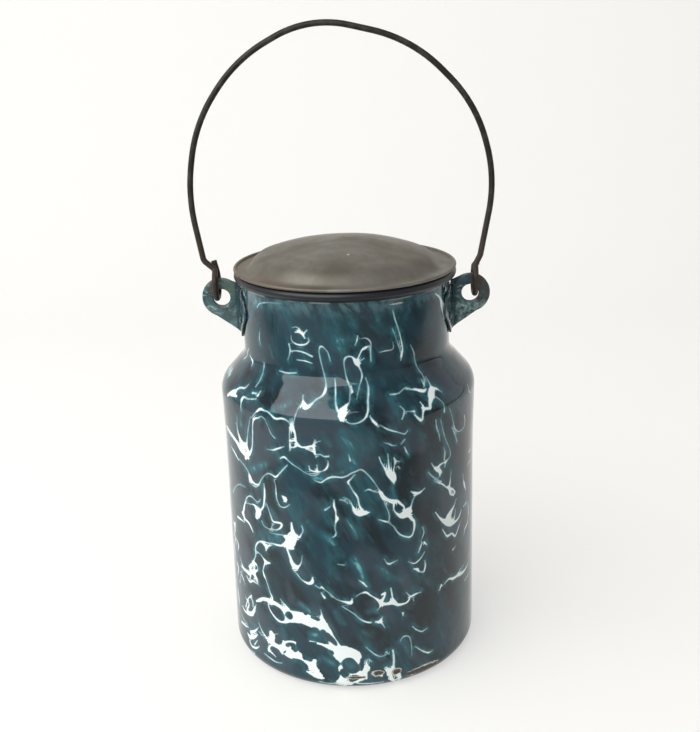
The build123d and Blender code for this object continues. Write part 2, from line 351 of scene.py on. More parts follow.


# White veins on the front, drawn over the photograph: (x, y, width) in its pixels
frontVeins = (
    ((257.5, 306.5, 1), (259, 304, 1.2), (263, 302.8, 1.2), (270, 302.7, 1), (280, 303.5, 0.6)),
    ((259.5, 333, 0.6), (259.3, 338, 1.4), (260, 343, 0.6)),
    ((296, 332, 1.5), (299, 332, 2.5), (302, 334, 2.5), (304, 337, 1.6)),
    ((293, 327.5, 0.6), (296, 327, 0.8), (299, 329, 1.6), (300, 331, 2)),
    ((306, 331, 1.2), (303, 334, 2)),
    ((291, 337, 0.8), (292, 341, 1.2), (296, 344, 1.7), (301, 345, 1.9), (306, 344, 1.7),
     (309, 341, 1.2), (308.5, 339, 0.6)),
    ((289, 345, 0.8), (290, 350, 1.4), (289, 356, 1), (288, 359, 0.6)),
    ((291, 351, 0.6), (298, 351, 1.1), (305, 353, 1.3), (311, 356, 1.5)),
    ((298, 360, 0.5), (305, 361, 0.7), (311, 363, 0.7)),
    ((280, 371, 1), (287, 373, 1.4), (295, 373, 1.2)),
    ((310, 405, 1.5), (317, 399, 1.3), (322, 396, 1.5), (325, 391, 2), (326, 385, 1.4), (325, 378, 1),
     (323, 370, 1), (321, 362, 1), (319.5, 355, 0.9), (319, 350, 1), (320, 347, 1.6), (322, 346.5, 1.6),
     (325, 349, 1), (328, 353, 0.7), (330, 360, 0.4)),
    ((342, 418, 4.5), (342, 414, 6), (344, 409, 4), (347, 405, 2), (349.5, 402, 1), (350, 395, 0.9),
     (350, 388, 1), (348, 382, 0.9), (346, 376, 0.9), (344.5, 368, 0.9), (344, 362, 1.1),
     (345, 358.5, 1.6), (348, 356.5, 1.2), (352, 357, 1.2), (354, 359, 2.4), (357, 363, 4.2),
     (358.5, 366, 2), (361, 371, 1.3), (362, 376, 1.6), (361, 381, 1.2), (359.5, 386, 0.9),
     (358, 392, 0.8), (357, 398, 0.5)),
    ((358, 359, 1.2), (360, 354, 1.2), (362, 350, 1.6), (365, 348, 2.6), (367, 347, 1.6)),
    ((357, 363, 3), (360, 361, 1.2), (363, 359, 0.6)),
    ((341, 413, 3), (338, 411, 2), (336, 405, 1.4), (335.5, 398, 1.2), (335.5, 390, 0.9), (335, 380, 0.5)),
    ((343, 415, 4), (346, 413, 2.2), (349, 411, 0.8)),
    ((351, 387, 1.6), (352, 391, 1.8)),
    ((343, 419, 1.2), (350, 423.5, 1.3), (356, 423.5, 1.4), (362, 421, 1.5), (366, 417, 1.8),
     (368, 410, 1.6), (368, 400, 1.4), (368.5, 392, 1.3), (368, 385, 1.2), (366, 379, 0.7)),
    ((371, 360, 0.8), (370.5, 350, 1.3), (371, 344, 1.2), (369, 340, 1.5), (365, 338, 1.1),
     (362, 338.5, 0.6)),
    ((357.5, 337, 1.2), (357, 340, 1.8), (355.5, 344, 0.8)),
    ((393, 311, 1), (395, 319, 1.2), (398, 328, 1.2), (400, 335, 1.4), (401.5, 342, 1.5),
     (402.5, 349, 1.8), (401.5, 355, 2.4), (401, 359, 1)),
    ((393, 330, 0.4), (396, 338, 0.7), (399, 347, 0.8), (400.5, 352, 1)),
    ((381, 352, 0.9), (386, 350.8, 1.5), (391, 350, 1.2), (393.5, 348, 1), (393, 343, 0.5)),
    ((436, 294, 1.6), (440, 298, 2.6), (441.5, 305, 3.6), (443, 312, 4.4), (444, 318, 2.2)),
    ((440, 298, 1.6), (443.7, 304, 1.7), (446, 312, 1.7), (446.5, 320.5, 1.4)),
    ((411, 346, 0.7), (414, 353, 1.1), (414.5, 358, 0.9), (416, 364, 1), (419, 370, 0.8),
     (422, 374, 0.9), (424.5, 379, 1), (424.5, 386, 0.9)),
    ((426, 377, 0.5), (429, 382, 0.8), (431, 387, 1.2)),
    ((242, 362, 1), (244, 361, 1.4), (246, 357, 1.2), (247.5, 352, 1.4), (248.5, 349, 0.8)),
    ((250, 356, 1.2), (252.5, 361, 2.2), (252, 365, 0.8)),
    ((256, 386, 0.6), (260, 380, 0.9), (263, 372, 0.8), (264, 364, 0.5)),
    ((228, 395, 3), (232, 392, 3.5), (236, 391, 3), (237, 389.5, 2), (241, 387.5, 1.6), (245, 388, 1.6),
     (248, 385, 0.8)),
    ((232, 394, 4), (236, 396, 2)),
    ((253, 393, 1.6), (256, 393.5, 0.8)),
    ((258, 395, 1.8), (260, 392, 0.8)),
    ((241, 410, 0.6), (241, 403, 1), (242, 399, 3), (244, 397, 1.6), (248, 399, 1), (255, 399, 0.5)),
    ((303, 396, 0.7), (303, 401, 1.6), (304, 405, 3.5), (306, 407.5, 3.6), (310, 405.5, 2.2),
     (313, 403, 1.4)),
    ((304, 404, 2), (301, 405, 1.4), (298, 409, 0.9), (295.5, 415, 0.9), (294, 421, 1), (293, 427, 2)),
    ((290, 427, 2), (289.5, 434, 1.2), (289.5, 441, 1.4), (290, 446, 2), (289.5, 450, 1)),
    ((291, 420, 0.8), (291.5, 426, 2.5), (293, 429, 3.5), (295, 434, 2.2), (295.5, 440, 2.4),
     (297, 443.5, 2.6)),
    ((290, 440.5, 2), (294, 440.5, 2)),
    ((290, 447, 1.8), (294, 447.5, 1.6), (297, 445, 3), (301, 447, 2.2), (306, 447.5, 2.4),
     (310, 446.5, 2.4), (313, 446, 2.4), (315, 443, 1.6), (317, 442, 1.2), (319, 441.5, 0.6)),
    ((313, 446, 2), (314.5, 440.5, 0.8)),
    ((307, 449.5, 1.4), (311, 451, 1.6), (314, 452, 2.6), (315.5, 456, 1.4)),
    ((314, 447, 2.2), (314.5, 452, 2.2)),
    ((316, 455, 1), (320, 454.5, 1.2), (324, 456.5, 1.4), (327.5, 456.5, 1.6)),
    ((246, 458, 3), (250, 453, 3), (252, 447, 1.6), (252.5, 438, 1.5), (252.5, 428, 1.5),
     (253, 421, 1.8), (255, 418.5, 2), (258, 418, 1.6), (261, 416.5, 1.2), (264, 418.5, 0.8)),
    ((252, 417, 0.8), (255, 413, 1.3), (258, 410.5, 2.2), (260, 409, 2.6), (264, 410.5, 1.4),
     (268, 412, 1.4), (271, 415, 1.6), (275, 418.5, 2), (281, 418.5, 1.9), (285, 419.5, 1.6),
     (288, 421.5, 1.2), (291, 425, 1.6)),
    ((268, 449.5, 0.6), (273, 450, 1.6), (278, 448.5, 2), (283, 447, 1)),
    ((265, 420, 0.4), (268, 427, 0.6), (271, 434, 0.8), (274, 437.5, 1)),
    ((227, 427, 3), (231, 434, 4), (236, 441, 4), (241, 449, 6), (246, 455, 5), (248, 458, 2)),
    ((237, 418, 0.8), (237.5, 430, 1.4), (239, 437, 2.4), (242, 443, 5), (246, 447, 5), (248, 452, 4)),
    ((250, 418, 0.5), (248, 430, 0.8), (247, 440, 1.4), (246.5, 446, 3)),
    ((231, 446, 1), (235, 453, 2.4), (238, 459, 1.8)),
    ((240, 460, 0.8), (246, 468, 1), (249, 474, 1.6), (250, 478, 4.5), (252, 481.5, 3), (256, 484.5, 2),
     (259, 484, 1.6), (261, 480, 1), (264, 476, 0.9), (268, 473.5, 1.2), (272, 475, 1.6),
     (275.5, 477, 2.2), (279, 474, 1.5), (283, 469.5, 1.2), (286.5, 466, 0.7)),
    ((249, 482, 0.6), (255, 487, 1), (259, 485, 1)),
    ((281, 458, 1.2), (284, 457, 2.4), (287, 459.5, 1.2), (292, 464, 0.9), (298, 468, 0.9),
     (304, 472, 0.9), (310, 475, 1), (315, 475.5, 1.2), (319, 474, 0.8)),
    ((309, 467, 1), (310, 470, 1.6), (314, 471.5, 1.8), (318, 471.8, 2.2), (321, 471.5, 0.8)),
    ((317, 466.5, 0.8), (317.5, 471, 1.8)),
    ((323, 471, 1.2), (326, 469, 2.2), (328, 465, 1.6), (328, 462, 0.7)),
    ((316, 481, 1.2), (321, 482.5, 1.6), (325, 480, 1.6), (330, 477.5, 1.8), (336, 477, 1.7),
     (342, 477.5, 1.6), (347, 476, 1.4), (351, 473.5, 1.4), (356, 471.5, 1.4), (360, 469.7, 1.4),
     (363, 470.5, 1.3), (366, 473, 1.2), (370, 477, 0.9), (374, 482, 0.9), (378, 488, 1), (381, 493, 2.4)),
    ((349, 456, 0.8), (350, 460, 1.6)),
    ((354, 475.5, 1), (351, 479, 1.2), (348, 482, 2.2), (350, 486, 1.2), (353, 491, 1.3),
     (356, 495, 1.8), (358, 499, 1.6), (359.5, 506, 2), (362, 510, 3)),
    ((264, 485, 0.8), (264.5, 490, 2), (264.5, 496, 2.4), (264, 502, 2), (263, 507, 2.2), (260, 511, 3),
     (258, 514, 6), (257, 517, 3)),
    ((246, 503, 1.2), (250, 504, 1), (254, 505, 2), (257, 509, 5)),
    ((274, 480, 0.6), (275.5, 486, 0.8), (276, 493, 1), (277, 500, 1.2), (280, 506, 1.3),
     (284, 507.5, 1.4), (287, 506.5, 1.3), (289, 505, 0.8)),
    ((233, 492, 1), (236, 486, 0.8), (240, 484.5, 0.7), (245, 487, 0.5)),
    ((407, 389, 1.4), (412, 389.5, 1.2), (416, 389.5, 2), (420, 390.5, 2.4), (424, 391, 2.4),
     (425.5, 389.5, 1.4)),
    ((422, 380.5, 0.8), (424, 384, 1.8)),
    ((391, 394.5, 0.8), (394, 394.2, 1.6), (399, 393, 1), (405, 388, 0.8), (409, 388.5, 1)),
    ((431, 386, 1.2), (433, 388, 2.4), (437, 389, 1.8), (441, 391.5, 0.8)),
    ((432, 389, 4), (431.5, 394, 5), (431, 399, 4), (430, 404, 3), (430.5, 408, 2.6), (428, 408.5, 2.4),
     (424, 408.5, 2.6), (423, 406, 2), (421, 403, 0.8)),
    ((423.5, 409, 3), (423, 414, 2.2), (422.5, 419, 2.4), (421, 420.5, 2.4), (418.5, 418.5, 2.2),
     (415.5, 415.5, 1.8)),
    ((435, 396.5, 0.8), (439, 399, 0.7), (443, 403, 0.8), (444.5, 408, 1.2), (444.5, 411, 1.6)),
    ((468, 386, 0.8), (469, 391, 1.4), (471, 393, 0.8)),
    ((406, 411.5, 0.6), (410, 411.3, 0.8), (413.5, 411.3, 1.8)),
    ((401, 407, 0.7), (404, 410, 1.2), (404, 414, 1.4), (402.5, 418, 1)),
    ((370.5, 417, 0.8), (373, 421, 2.2), (376, 424, 2.4), (377.5, 426, 0.8)),
    ((381.5, 426, 0.8), (386, 428.5, 1.8), (391, 430.5, 1.4), (397, 432, 1), (402, 433.5, 1.2),
     (405, 434, 1.5), (407, 431.5, 0.7)),
    ((385, 443, 0.6), (389, 444, 1.2), (392, 445.5, 1.3), (395, 445.5, 0.6)),
    ((402, 443, 0.8), (404, 440.5, 1.2)),
    ((405, 448, 1.4), (406.5, 451.5, 1.6), (408, 454, 0.7)),
    ((379.5, 458, 0.6), (381, 462, 1), (384, 467, 1.8), (387, 472, 3), (390, 476, 4.5), (393, 479, 4.5),
     (394, 483, 1.2)),
    ((388, 455, 0.6), (388.5, 462, 1), (389, 468, 2.4), (390, 474, 4)),
    ((395, 460.5, 1.8), (394.5, 466, 1.4), (393.5, 471, 1.8), (395, 476, 2.4), (395.5, 480, 1.6)),
    ((394.5, 459, 1.4), (396, 461, 1.6), (399, 461.5, 0.8)),
    ((398.5, 467, 1.3), (399, 467.5, 1)),
    ((436, 421, 0.6), (437, 428, 1.4), (439, 434, 1), (440, 440, 0.5)),
    ((441, 421, 0.5), (443, 430, 1), (446, 440, 1), (449, 447, 1), (450.5, 454, 0.9), (449, 458, 1),
     (446, 461.5, 2), (443, 463, 1.6), (440, 465, 2), (438, 468, 3.2), (440, 471.5, 3.6), (440, 475, 1.6)),
    ((432, 464, 0.7), (434, 467, 1.6), (437, 470, 2.8), (441, 472, 2)),
    ((446, 462, 1.6), (445, 466, 1)),
    ((444, 448, 0.6), (445, 453, 1.6), (444.5, 458, 1.4)),
    ((450, 409, 0.5), (452, 416, 0.8), (453.5, 423, 1), (455, 428.5, 1.1), (458, 431.5, 1.3),
     (461, 430.5, 1), (464, 427, 1), (465, 421, 1), (464.5, 416, 1.4)),
    ((452, 428, 0.5), (455, 435, 0.8), (457, 441, 1.2)),
    ((469, 452, 1.6), (470.5, 449, 1.6)),
    ((470, 460, 1.2), (468, 464, 1.2), (467.5, 467, 0.6)),
    ((463, 475, 1.2), (463.5, 480, 1.2), (464.5, 485, 3.2), (465.5, 489, 1.4)),
    ((429, 473, 0.8), (432, 476, 1.2), (436, 479, 1.2), (441, 481.5, 1.4)),
    ((435, 481.5, 0.8), (439, 483, 1.6), (443, 484.5, 2), (446, 487, 1.6), (449, 488.5, 3),
     (450.5, 494, 2), (453, 495, 1.8)),
    ((451, 473, 0.6), (450.5, 478, 1.4), (450, 483, 2), (449.5, 488, 3), (453, 489.5, 2),
     (455, 492.5, 2), (453, 495, 1.8)),
    ((412, 492, 1.2), (416, 493.5, 3.2), (420, 492.5, 2.2), (424, 489, 0.6)),
    ((366, 490.5, 0.7), (369, 489.5, 1.6), (374, 491.5, 1.2), (378, 492.5, 1.2), (381, 494, 2.4)),
    ((243, 514, 3), (244, 508, 2.6), (245.5, 501, 1.6), (247, 497.5, 1.5), (250, 496, 1.6),
     (253, 498, 1.4), (256, 501, 1.2), (258.5, 502, 1.2), (260, 500, 0.7)),
    ((243, 514, 3.6), (245, 519, 3), (248, 522, 2.4), (250.5, 526, 2.4), (252.5, 531, 1.6)),
    ((238, 517, 2.4), (241, 519.5, 2), (244, 522, 1.2)),
    ((235, 524, 3), (235, 530, 1.4)),
    ((235, 536, 2.4), (236, 543, 1.6)),
    ((267, 505, 0.6), (269, 511, 1), (271, 517, 1.4), (273, 521.5, 1.8), (277, 522.5, 2.2),
     (281, 523.5, 2.2), (281.5, 526, 2.4), (279, 529, 1.8), (275, 530, 1.2), (272, 528.5, 1.2),
     (272, 525.5, 1), (274, 524.5, 0.6)),
    ((262, 522, 0.8), (264, 526, 0.9), (268, 528.5, 1.2), (272, 529.5, 1.6)),
    ((283, 497, 1.6), (285, 499, 4.2), (285, 500, 3)),
    ((291.5, 524, 1.6), (292, 529, 3), (293, 535, 5), (291, 540, 9), (290, 545, 6), (293, 548, 1.6)),
    ((291, 538, 4), (295, 535, 3), (299, 537.5, 2.2), (301, 535, 1.4), (303, 531, 0.9), (302, 527, 0.5)),
    ((270, 532.5, 0.4), (277, 534.5, 0.8), (282, 535, 1), (286, 538, 3)),
    ((288, 542, 5), (282, 545.5, 2.6), (277, 545, 2), (272, 543.5, 1.4), (268, 543, 1.2),
     (264, 542, 1.8), (260, 541.5, 1.6), (257, 543.5, 1.8), (255.5, 547, 1.6), (255.5, 551, 1.4),
     (255.5, 556, 1.2), (254, 560, 1.6), (253, 564, 3)),
    ((262, 542, 2), (266, 546, 3), (270, 545.5, 1.4)),
    ((266, 546, 3), (266, 549.5, 1.6)),
    ((286, 545, 3), (288, 552, 2), (290, 557, 2.4), (292, 563, 4), (295, 567, 5), (298, 567, 2.4),
     (301, 563, 1.2), (302, 557, 0.5)),
    ((255.5, 551, 1.4), (260, 554, 1), (263, 558, 1.6), (266, 562, 3.4), (269, 563, 1.8)),
    ((265, 563, 2), (263, 570, 1.4), (264, 575, 2.4), (266, 580, 1.4), (268, 586, 1.2), (270, 592, 1.2),
     (272, 597, 2), (273, 603, 2)),
    ((250, 567, 3.5), (254, 563, 3), (257, 566, 1.4), (257.5, 570, 1.4), (254, 572, 4), (255, 576, 4),
     (257, 580, 2.4), (258, 584, 1)),
    ((250, 567, 3), (251, 571, 4), (254, 573, 4)),
    ((250, 579, 0.8), (253, 581, 1.6), (257, 584, 1.2)),
    ((240, 557, 0.8), (242, 564, 1.6), (244, 569, 3), (248, 571.5, 2.4), (250, 575, 2), (250, 579, 1.4)),
    ((242, 571, 1), (240.5, 576, 1), (240, 582, 1.6)),
    ((293, 570, 0.6), (297, 574, 0.9), (301, 579, 1), (305, 582, 1.8), (309, 583.5, 3), (312, 582, 3.6),
     (312.5, 578.5, 1.6)),
    ((316, 586, 0.5), (320, 588.5, 0.8), (321.5, 587, 2), (325, 590, 0.9), (329, 593, 0.9),
     (332, 597, 0.6)),
    ((334, 501, 0.8), (334, 506, 2.2), (335.5, 511, 1.8), (336, 516, 1.8), (337, 519, 3.2),
     (335.5, 523, 1.2), (335, 529, 1), (336, 533, 1), (335, 536, 1.5), (333.5, 537, 0.8)),
    ((326, 509.5, 1.6), (329, 507.5, 0.8)),
    ((341, 500, 0.8), (345, 501, 1.2), (347, 503, 0.7)),
    ((345, 498, 0.6), (349, 500, 0.9), (352, 505, 1.6), (355, 511, 3.5), (359, 513.5, 5),
     (364, 513, 4.5), (368.5, 512.5, 1.4)),
    ((339, 564.5, 0.4), (343, 565, 0.9)),
    ((381, 493, 2.4), (383, 497, 4), (388, 500, 3.2), (393, 501.5, 4), (397, 501, 2.6), (401, 504, 2.4),
     (404, 507, 1.8), (404.5, 511, 2)),
    ((394, 503, 2.4), (394, 510, 1.4), (398, 514.5, 2.6), (402, 515.5, 5), (407, 513, 7), (409, 510, 4),
     (411, 507, 2), (412, 503, 1), (414, 498, 0.9), (416, 495, 1.2)),
    ((409, 515, 3.6), (412, 519, 3), (414, 521, 2.4), (414.5, 526, 2.2), (413.5, 532, 1.6),
     (411, 536.5, 1.8), (407, 537, 1.6), (401, 535, 1.4), (397, 531.5, 1.3), (394, 527, 1),
     (389, 523, 1.1), (385, 521.5, 1.8), (380, 520, 1.3)),
    ((383, 500, 1), (386, 506, 0.8), (388.5, 512, 1.1), (389.5, 517, 1.2), (389, 521, 1)),
    ((423, 528, 0.6), (424, 532, 1.4), (423, 536, 1.2), (421.5, 540, 0.6)),
    ((425, 543, 2), (426, 544, 1.6)),
    ((422, 543, 1.2), (420.5, 547, 1.8), (419, 551, 1)),
    ((424, 553, 0.8), (421, 558, 1.2), (417, 562, 1.2), (414, 563.5, 1), (409, 562, 0.5)),
    ((385, 560, 0.7), (387, 563, 1.4), (389.5, 564, 1.8), (393, 562.5, 1.4), (397, 560.5, 0.8)),
    ((425, 561.5, 0.8), (425.5, 565, 1.8), (424.5, 570, 1.8), (423.5, 572, 1.4), (419, 571.5, 1.2),
     (417.5, 569.5, 3), (415, 569, 1.2)),
    ((436, 513, 1.2), (440, 518, 2.2), (444, 521, 4), (449, 522, 7), (453, 523, 4), (457, 520, 2.2),
     (459.5, 516, 2), (461, 511, 1.4)),
    ((449, 516, 6), (451.5, 511, 4), (454, 506, 1.8), (456, 500, 0.8)),
    ((455.5, 510, 1), (455, 514.5, 1.2), (454, 519, 2.4)),
    ((443, 530, 0.6), (446, 535, 1.6), (448, 536, 2.4), (452, 533.5, 1.8), (455, 536, 2),
     (457, 532, 1.6), (459, 526, 1.4), (461, 520, 0.8)),
    ((464, 506, 1.2), (466, 503, 1.4)),
    ((468, 502, 1.2), (468.5, 510, 1.8), (468, 518, 1.4), (467, 524, 2), (465, 529, 1.6), (464, 534, 0.8)),
    ((455, 547, 0.8), (453.5, 549, 1.6)),
    ((468.5, 555, 0.8), (468, 562, 1.4), (466, 568, 2), (462, 573, 3), (457, 576, 3), (453, 578.5, 3),
     (449, 579, 1.8), (446, 582, 1.4), (443, 585.5, 1)),
    ((441, 586, 2.2), (440, 589, 1.4)),
    ((463, 566, 0.6), (460, 570, 1), (458, 574, 2)),
    ((468, 575, 1.2), (465, 580, 0.9)),
    ((360, 581, 0.9), (363, 583, 2), (366, 586, 1.4)),
    ((391, 589, 0.8), (392, 594, 1.7), (392.5, 598, 1.8), (393, 602, 4.5)),
    ((246, 606, 2), (248, 599, 1.6), (251, 596, 1.8)),
    ((257, 601, 2), (260, 600, 3.4), (263, 599, 3.4), (268, 600, 4), (272, 602.5, 5), (276, 606, 7),
     (281, 611, 9), (286, 615, 10), (292, 616.5, 9.5), (298, 617, 9), (305, 619, 9.5), (312, 622, 9.5),
     (319, 624, 10), (325, 628, 6.5), (330, 632, 3.4), (333, 636.5, 2.6), (336, 641.5, 2.6), (339, 647, 4)),
    ((281, 600, 0.8), (284, 604, 1.6), (288, 609, 3)),
    ((268, 601, 1.8), (268.5, 605, 1.6), (270, 610, 1.6), (274, 616, 2), (279, 621, 2.6), (285, 622, 3),
     (291, 620, 4), (298, 620, 6)),
    ((283, 611, 2), (284.5, 615, 1.5), (284, 619, 1.2), (287, 620.5, 1.8)),
    ((321, 611, 0.8), (322, 617, 2.4), (323, 622, 5)),
    ((259, 624, 0.9), (262, 631, 1.5), (267, 638, 2.2), (271, 641.5, 5), (275, 645, 4.6),
     (280, 647.5, 4.4), (283, 650, 6)),
    ((271, 632, 1.2), (272, 636, 6), (271.5, 640, 5.5)),
    ((272, 636, 4), (276.5, 634.5, 1)),
    ((284, 643, 3.4), (284, 648, 6), (287, 652, 8), (292, 654.5, 8), (298, 656, 7), (303, 659, 6.5),
     (309, 662.5, 8), (314, 665.5, 10), (317, 669, 8)),
    ((284, 642.5, 2.6), (290, 641.5, 2), (296, 643.5, 2.6), (299, 650, 4), (300, 655, 4)),
    ((290, 648, 2), (289, 652, 4)),
    ((316, 657, 0.8), (316, 661, 3), (315, 665, 7)),
    ((316, 667, 7), (319, 671.5, 6), (322, 675, 4)),
    ((308, 672, 2), (312, 674, 3.4), (317, 676, 4.6), (322, 677, 4.6), (326, 676.5, 2)),
    ((311, 641.5, 1.4), (318, 643.5, 2.4), (325, 645.5, 3.6), (332, 648, 6), (338, 651.5, 9.5),
     (345, 653.5, 11.5), (352, 656, 11), (357, 659.5, 6), (360, 664, 3.4), (360, 670, 3),
     (356, 673.5, 3), (351, 674, 2)),
    ((329, 642, 1.4), (333, 645.5, 3), (336, 649, 6)),
    ((337, 655, 6), (340.5, 660, 6), (341.5, 665, 4.6), (339.5, 670, 3.4), (338, 675, 3.6),
     (340, 680, 7), (345, 682.5, 5.5), (350, 684, 3)),
    ((334, 679, 1.6), (338, 680, 4)),
    ((342, 677.5, 1.4), (347, 679, 1.6), (350, 676, 1)),
    ((320, 682, 0.8), (328, 683.3, 1.3), (336, 684, 1.4), (345, 685.5, 1.4)),
    ((351, 673, 0.8), (349.5, 677, 1.4), (352, 681, 1.4)),
    ((243, 607, 2), (245, 611, 2.4), (248, 613, 4), (252, 614, 4), (254, 610, 3), (256, 605, 0.8)),
    ((242, 622, 2.2), (246, 626, 2.2), (248, 627, 0.8)),
    ((241, 613, 0.8), (243, 618, 1.2), (247, 624, 0.9)),
    ((251, 632, 3), (255, 631, 2.4), (258, 628, 0.9)),
    ((248, 634, 2), (250, 637, 4), (254, 637, 3.4), (257, 635, 1.4)),
    ((250, 642, 2), (252, 646, 2.4), (256, 648, 2.4), (259, 646.5, 1)),
    ((257, 641, 1.4), (255, 644, 1.6)),
    ((252, 651, 1), (254, 653, 1.8)),
    ((259, 632, 0.7), (264, 638, 1.2), (268, 643, 1.4), (269, 650, 1.8), (272, 653, 1.8), (275, 656, 0.8)),
    ((265, 654, 0.8), (270, 658, 1.4), (276, 662, 1.2), (281, 663, 0.7)),
    ((269, 650, 2.6), (270, 646, 2), (274, 645.5, 1.8), (279, 649, 1.8), (282, 652, 3.6)),
    ((322, 594, 1.2), (324, 597, 2)),
    ((330, 594, 0.6), (336, 599, 0.8), (341, 601, 1.4), (347, 602.5, 2.8), (351, 603, 3.2),
     (352, 600, 1.4)),
    ((343, 607, 0.4), (348, 610, 0.8), (354, 614, 0.9), (360, 619, 1.2), (366, 622, 1.8),
     (370, 622.5, 1.6)),
    ((377, 622, 1.6), (380, 621.5, 3.2), (382, 618, 0.8)),
    ((381, 622, 1.8), (384.5, 627, 0.7)),
    ((357, 596, 0.5), (361, 593.5, 0.8), (366, 592.5, 2.4), (370, 595, 1.8), (375, 598, 1.8),
     (379, 601, 3), (381, 604, 3.4), (380, 607, 1.6), (378, 609.5, 0.8)),
    ((381, 602, 4), (384, 597.5, 2.2), (385, 593, 2.4), (383, 594, 2)),
    ((384, 604.5, 2.4), (389, 603.5, 3.2), (393, 602, 4.5), (397, 604.5, 3), (401, 604.5, 2.4),
     (406, 603, 2), (409, 600, 2), (410, 597, 2), (413, 595.5, 2), (417, 593.5, 1.6), (420, 592.5, 0.8)),
    ((407, 593, 0.8), (410, 596.5, 1.6)),
    ((412, 596, 1), (413.5, 600, 0.7)),
    ((403, 614, 1.8), (403, 615, 1.4)),
    ((413, 627, 0.5), (417, 630, 1), (422, 631.5, 1.4), (426, 629, 0.7)),
    ((416, 647, 0.8), (420, 649.5, 1.4), (425, 652, 1.6), (429, 652.5, 1.8), (432, 651, 0.7)),
    ((401, 640, 0.4), (403, 637, 0.9), (407, 636, 1.1), (410, 638, 0.7), (411.5, 645, 0.6),
     (412, 655, 0.4)),
    ((367, 648, 0.5), (371, 651.5, 1), (376, 655, 1.3), (381, 656.5, 0.9), (386, 655, 0.6)),
    ((387, 652.5, 1.2), (388, 653.5, 1)),
    ((393, 651, 0.8), (394.5, 656, 1.6), (394, 662, 1.6), (393.5, 668, 2), (391, 671, 4.5),
     (388, 671.5, 3), (385, 669, 1)),
    ((390, 675, 3.6), (394, 680, 2), (398, 678.5, 2), (399.5, 674, 1.4), (396, 671, 1.6), (392, 671, 2)),
    ((366, 661, 1), (366.5, 666, 3.6), (364, 671, 8), (362, 676, 7), (358, 680, 4), (354, 682, 2)),
    ((367, 677, 3), (371, 674, 2), (376, 673.5, 3.2), (381, 675, 3)),
    ((385, 676, 1.6), (389, 674, 3)),
    ((369.5, 659.5, 1), (371, 661, 1)),
    ((387, 668, 1.6), (390, 671, 5), (394, 671, 5), (398, 674, 4), (400, 678, 2.4), (396, 681, 2),
     (390, 679, 2)),
    ((353, 682, 1.6), (360, 683.5, 1.6), (370, 683.5, 1.4), (382, 682, 1.2)),
    ((393, 651, 1.6), (393.5, 657, 1.6), (393.5, 663, 1.4), (393, 668, 2.6)),
    ((413, 674, 1.6), (417, 669.5, 1.6), (422, 666, 1.6), (429, 663.5, 1.6), (437, 662, 1.2)),
    ((236, 424, 0.8), (238, 432, 1.4), (241, 440, 2), (243.5, 447, 2.6)),
    ((233.5, 522, 1.4), (235, 528, 2.4), (234.5, 534, 1.6)),
    ((236, 538, 1.2), (238.5, 545, 2), (238, 550, 1)),
    ((234, 541, 2), (234.5, 548, 2.6), (235.5, 555, 1.4)),
    ((236.8, 562, 1.4), (238.5, 568, 2.2), (238, 574, 1.2)),
    ((240.5, 572, 1), (243, 578, 1.8), (244.5, 583, 1)),
    ((238, 590, 2), (238.8, 597, 2.6), (239.5, 604, 1.4)),
    ((246, 598, 1.2), (249, 604, 2), (247.5, 610, 2.6), (251, 613, 2), (255, 611, 1.2)),
    ((250, 597, 1), (252.5, 601, 1.8), (253, 606, 1.2)),
    ((241, 566, 1.2), (245, 570, 2.2), (249, 574, 2.6), (253, 572, 1.8), (255, 566, 1.2)),
    ((247, 577, 1.4), (250, 582, 2), (254, 580, 1.2)),
)

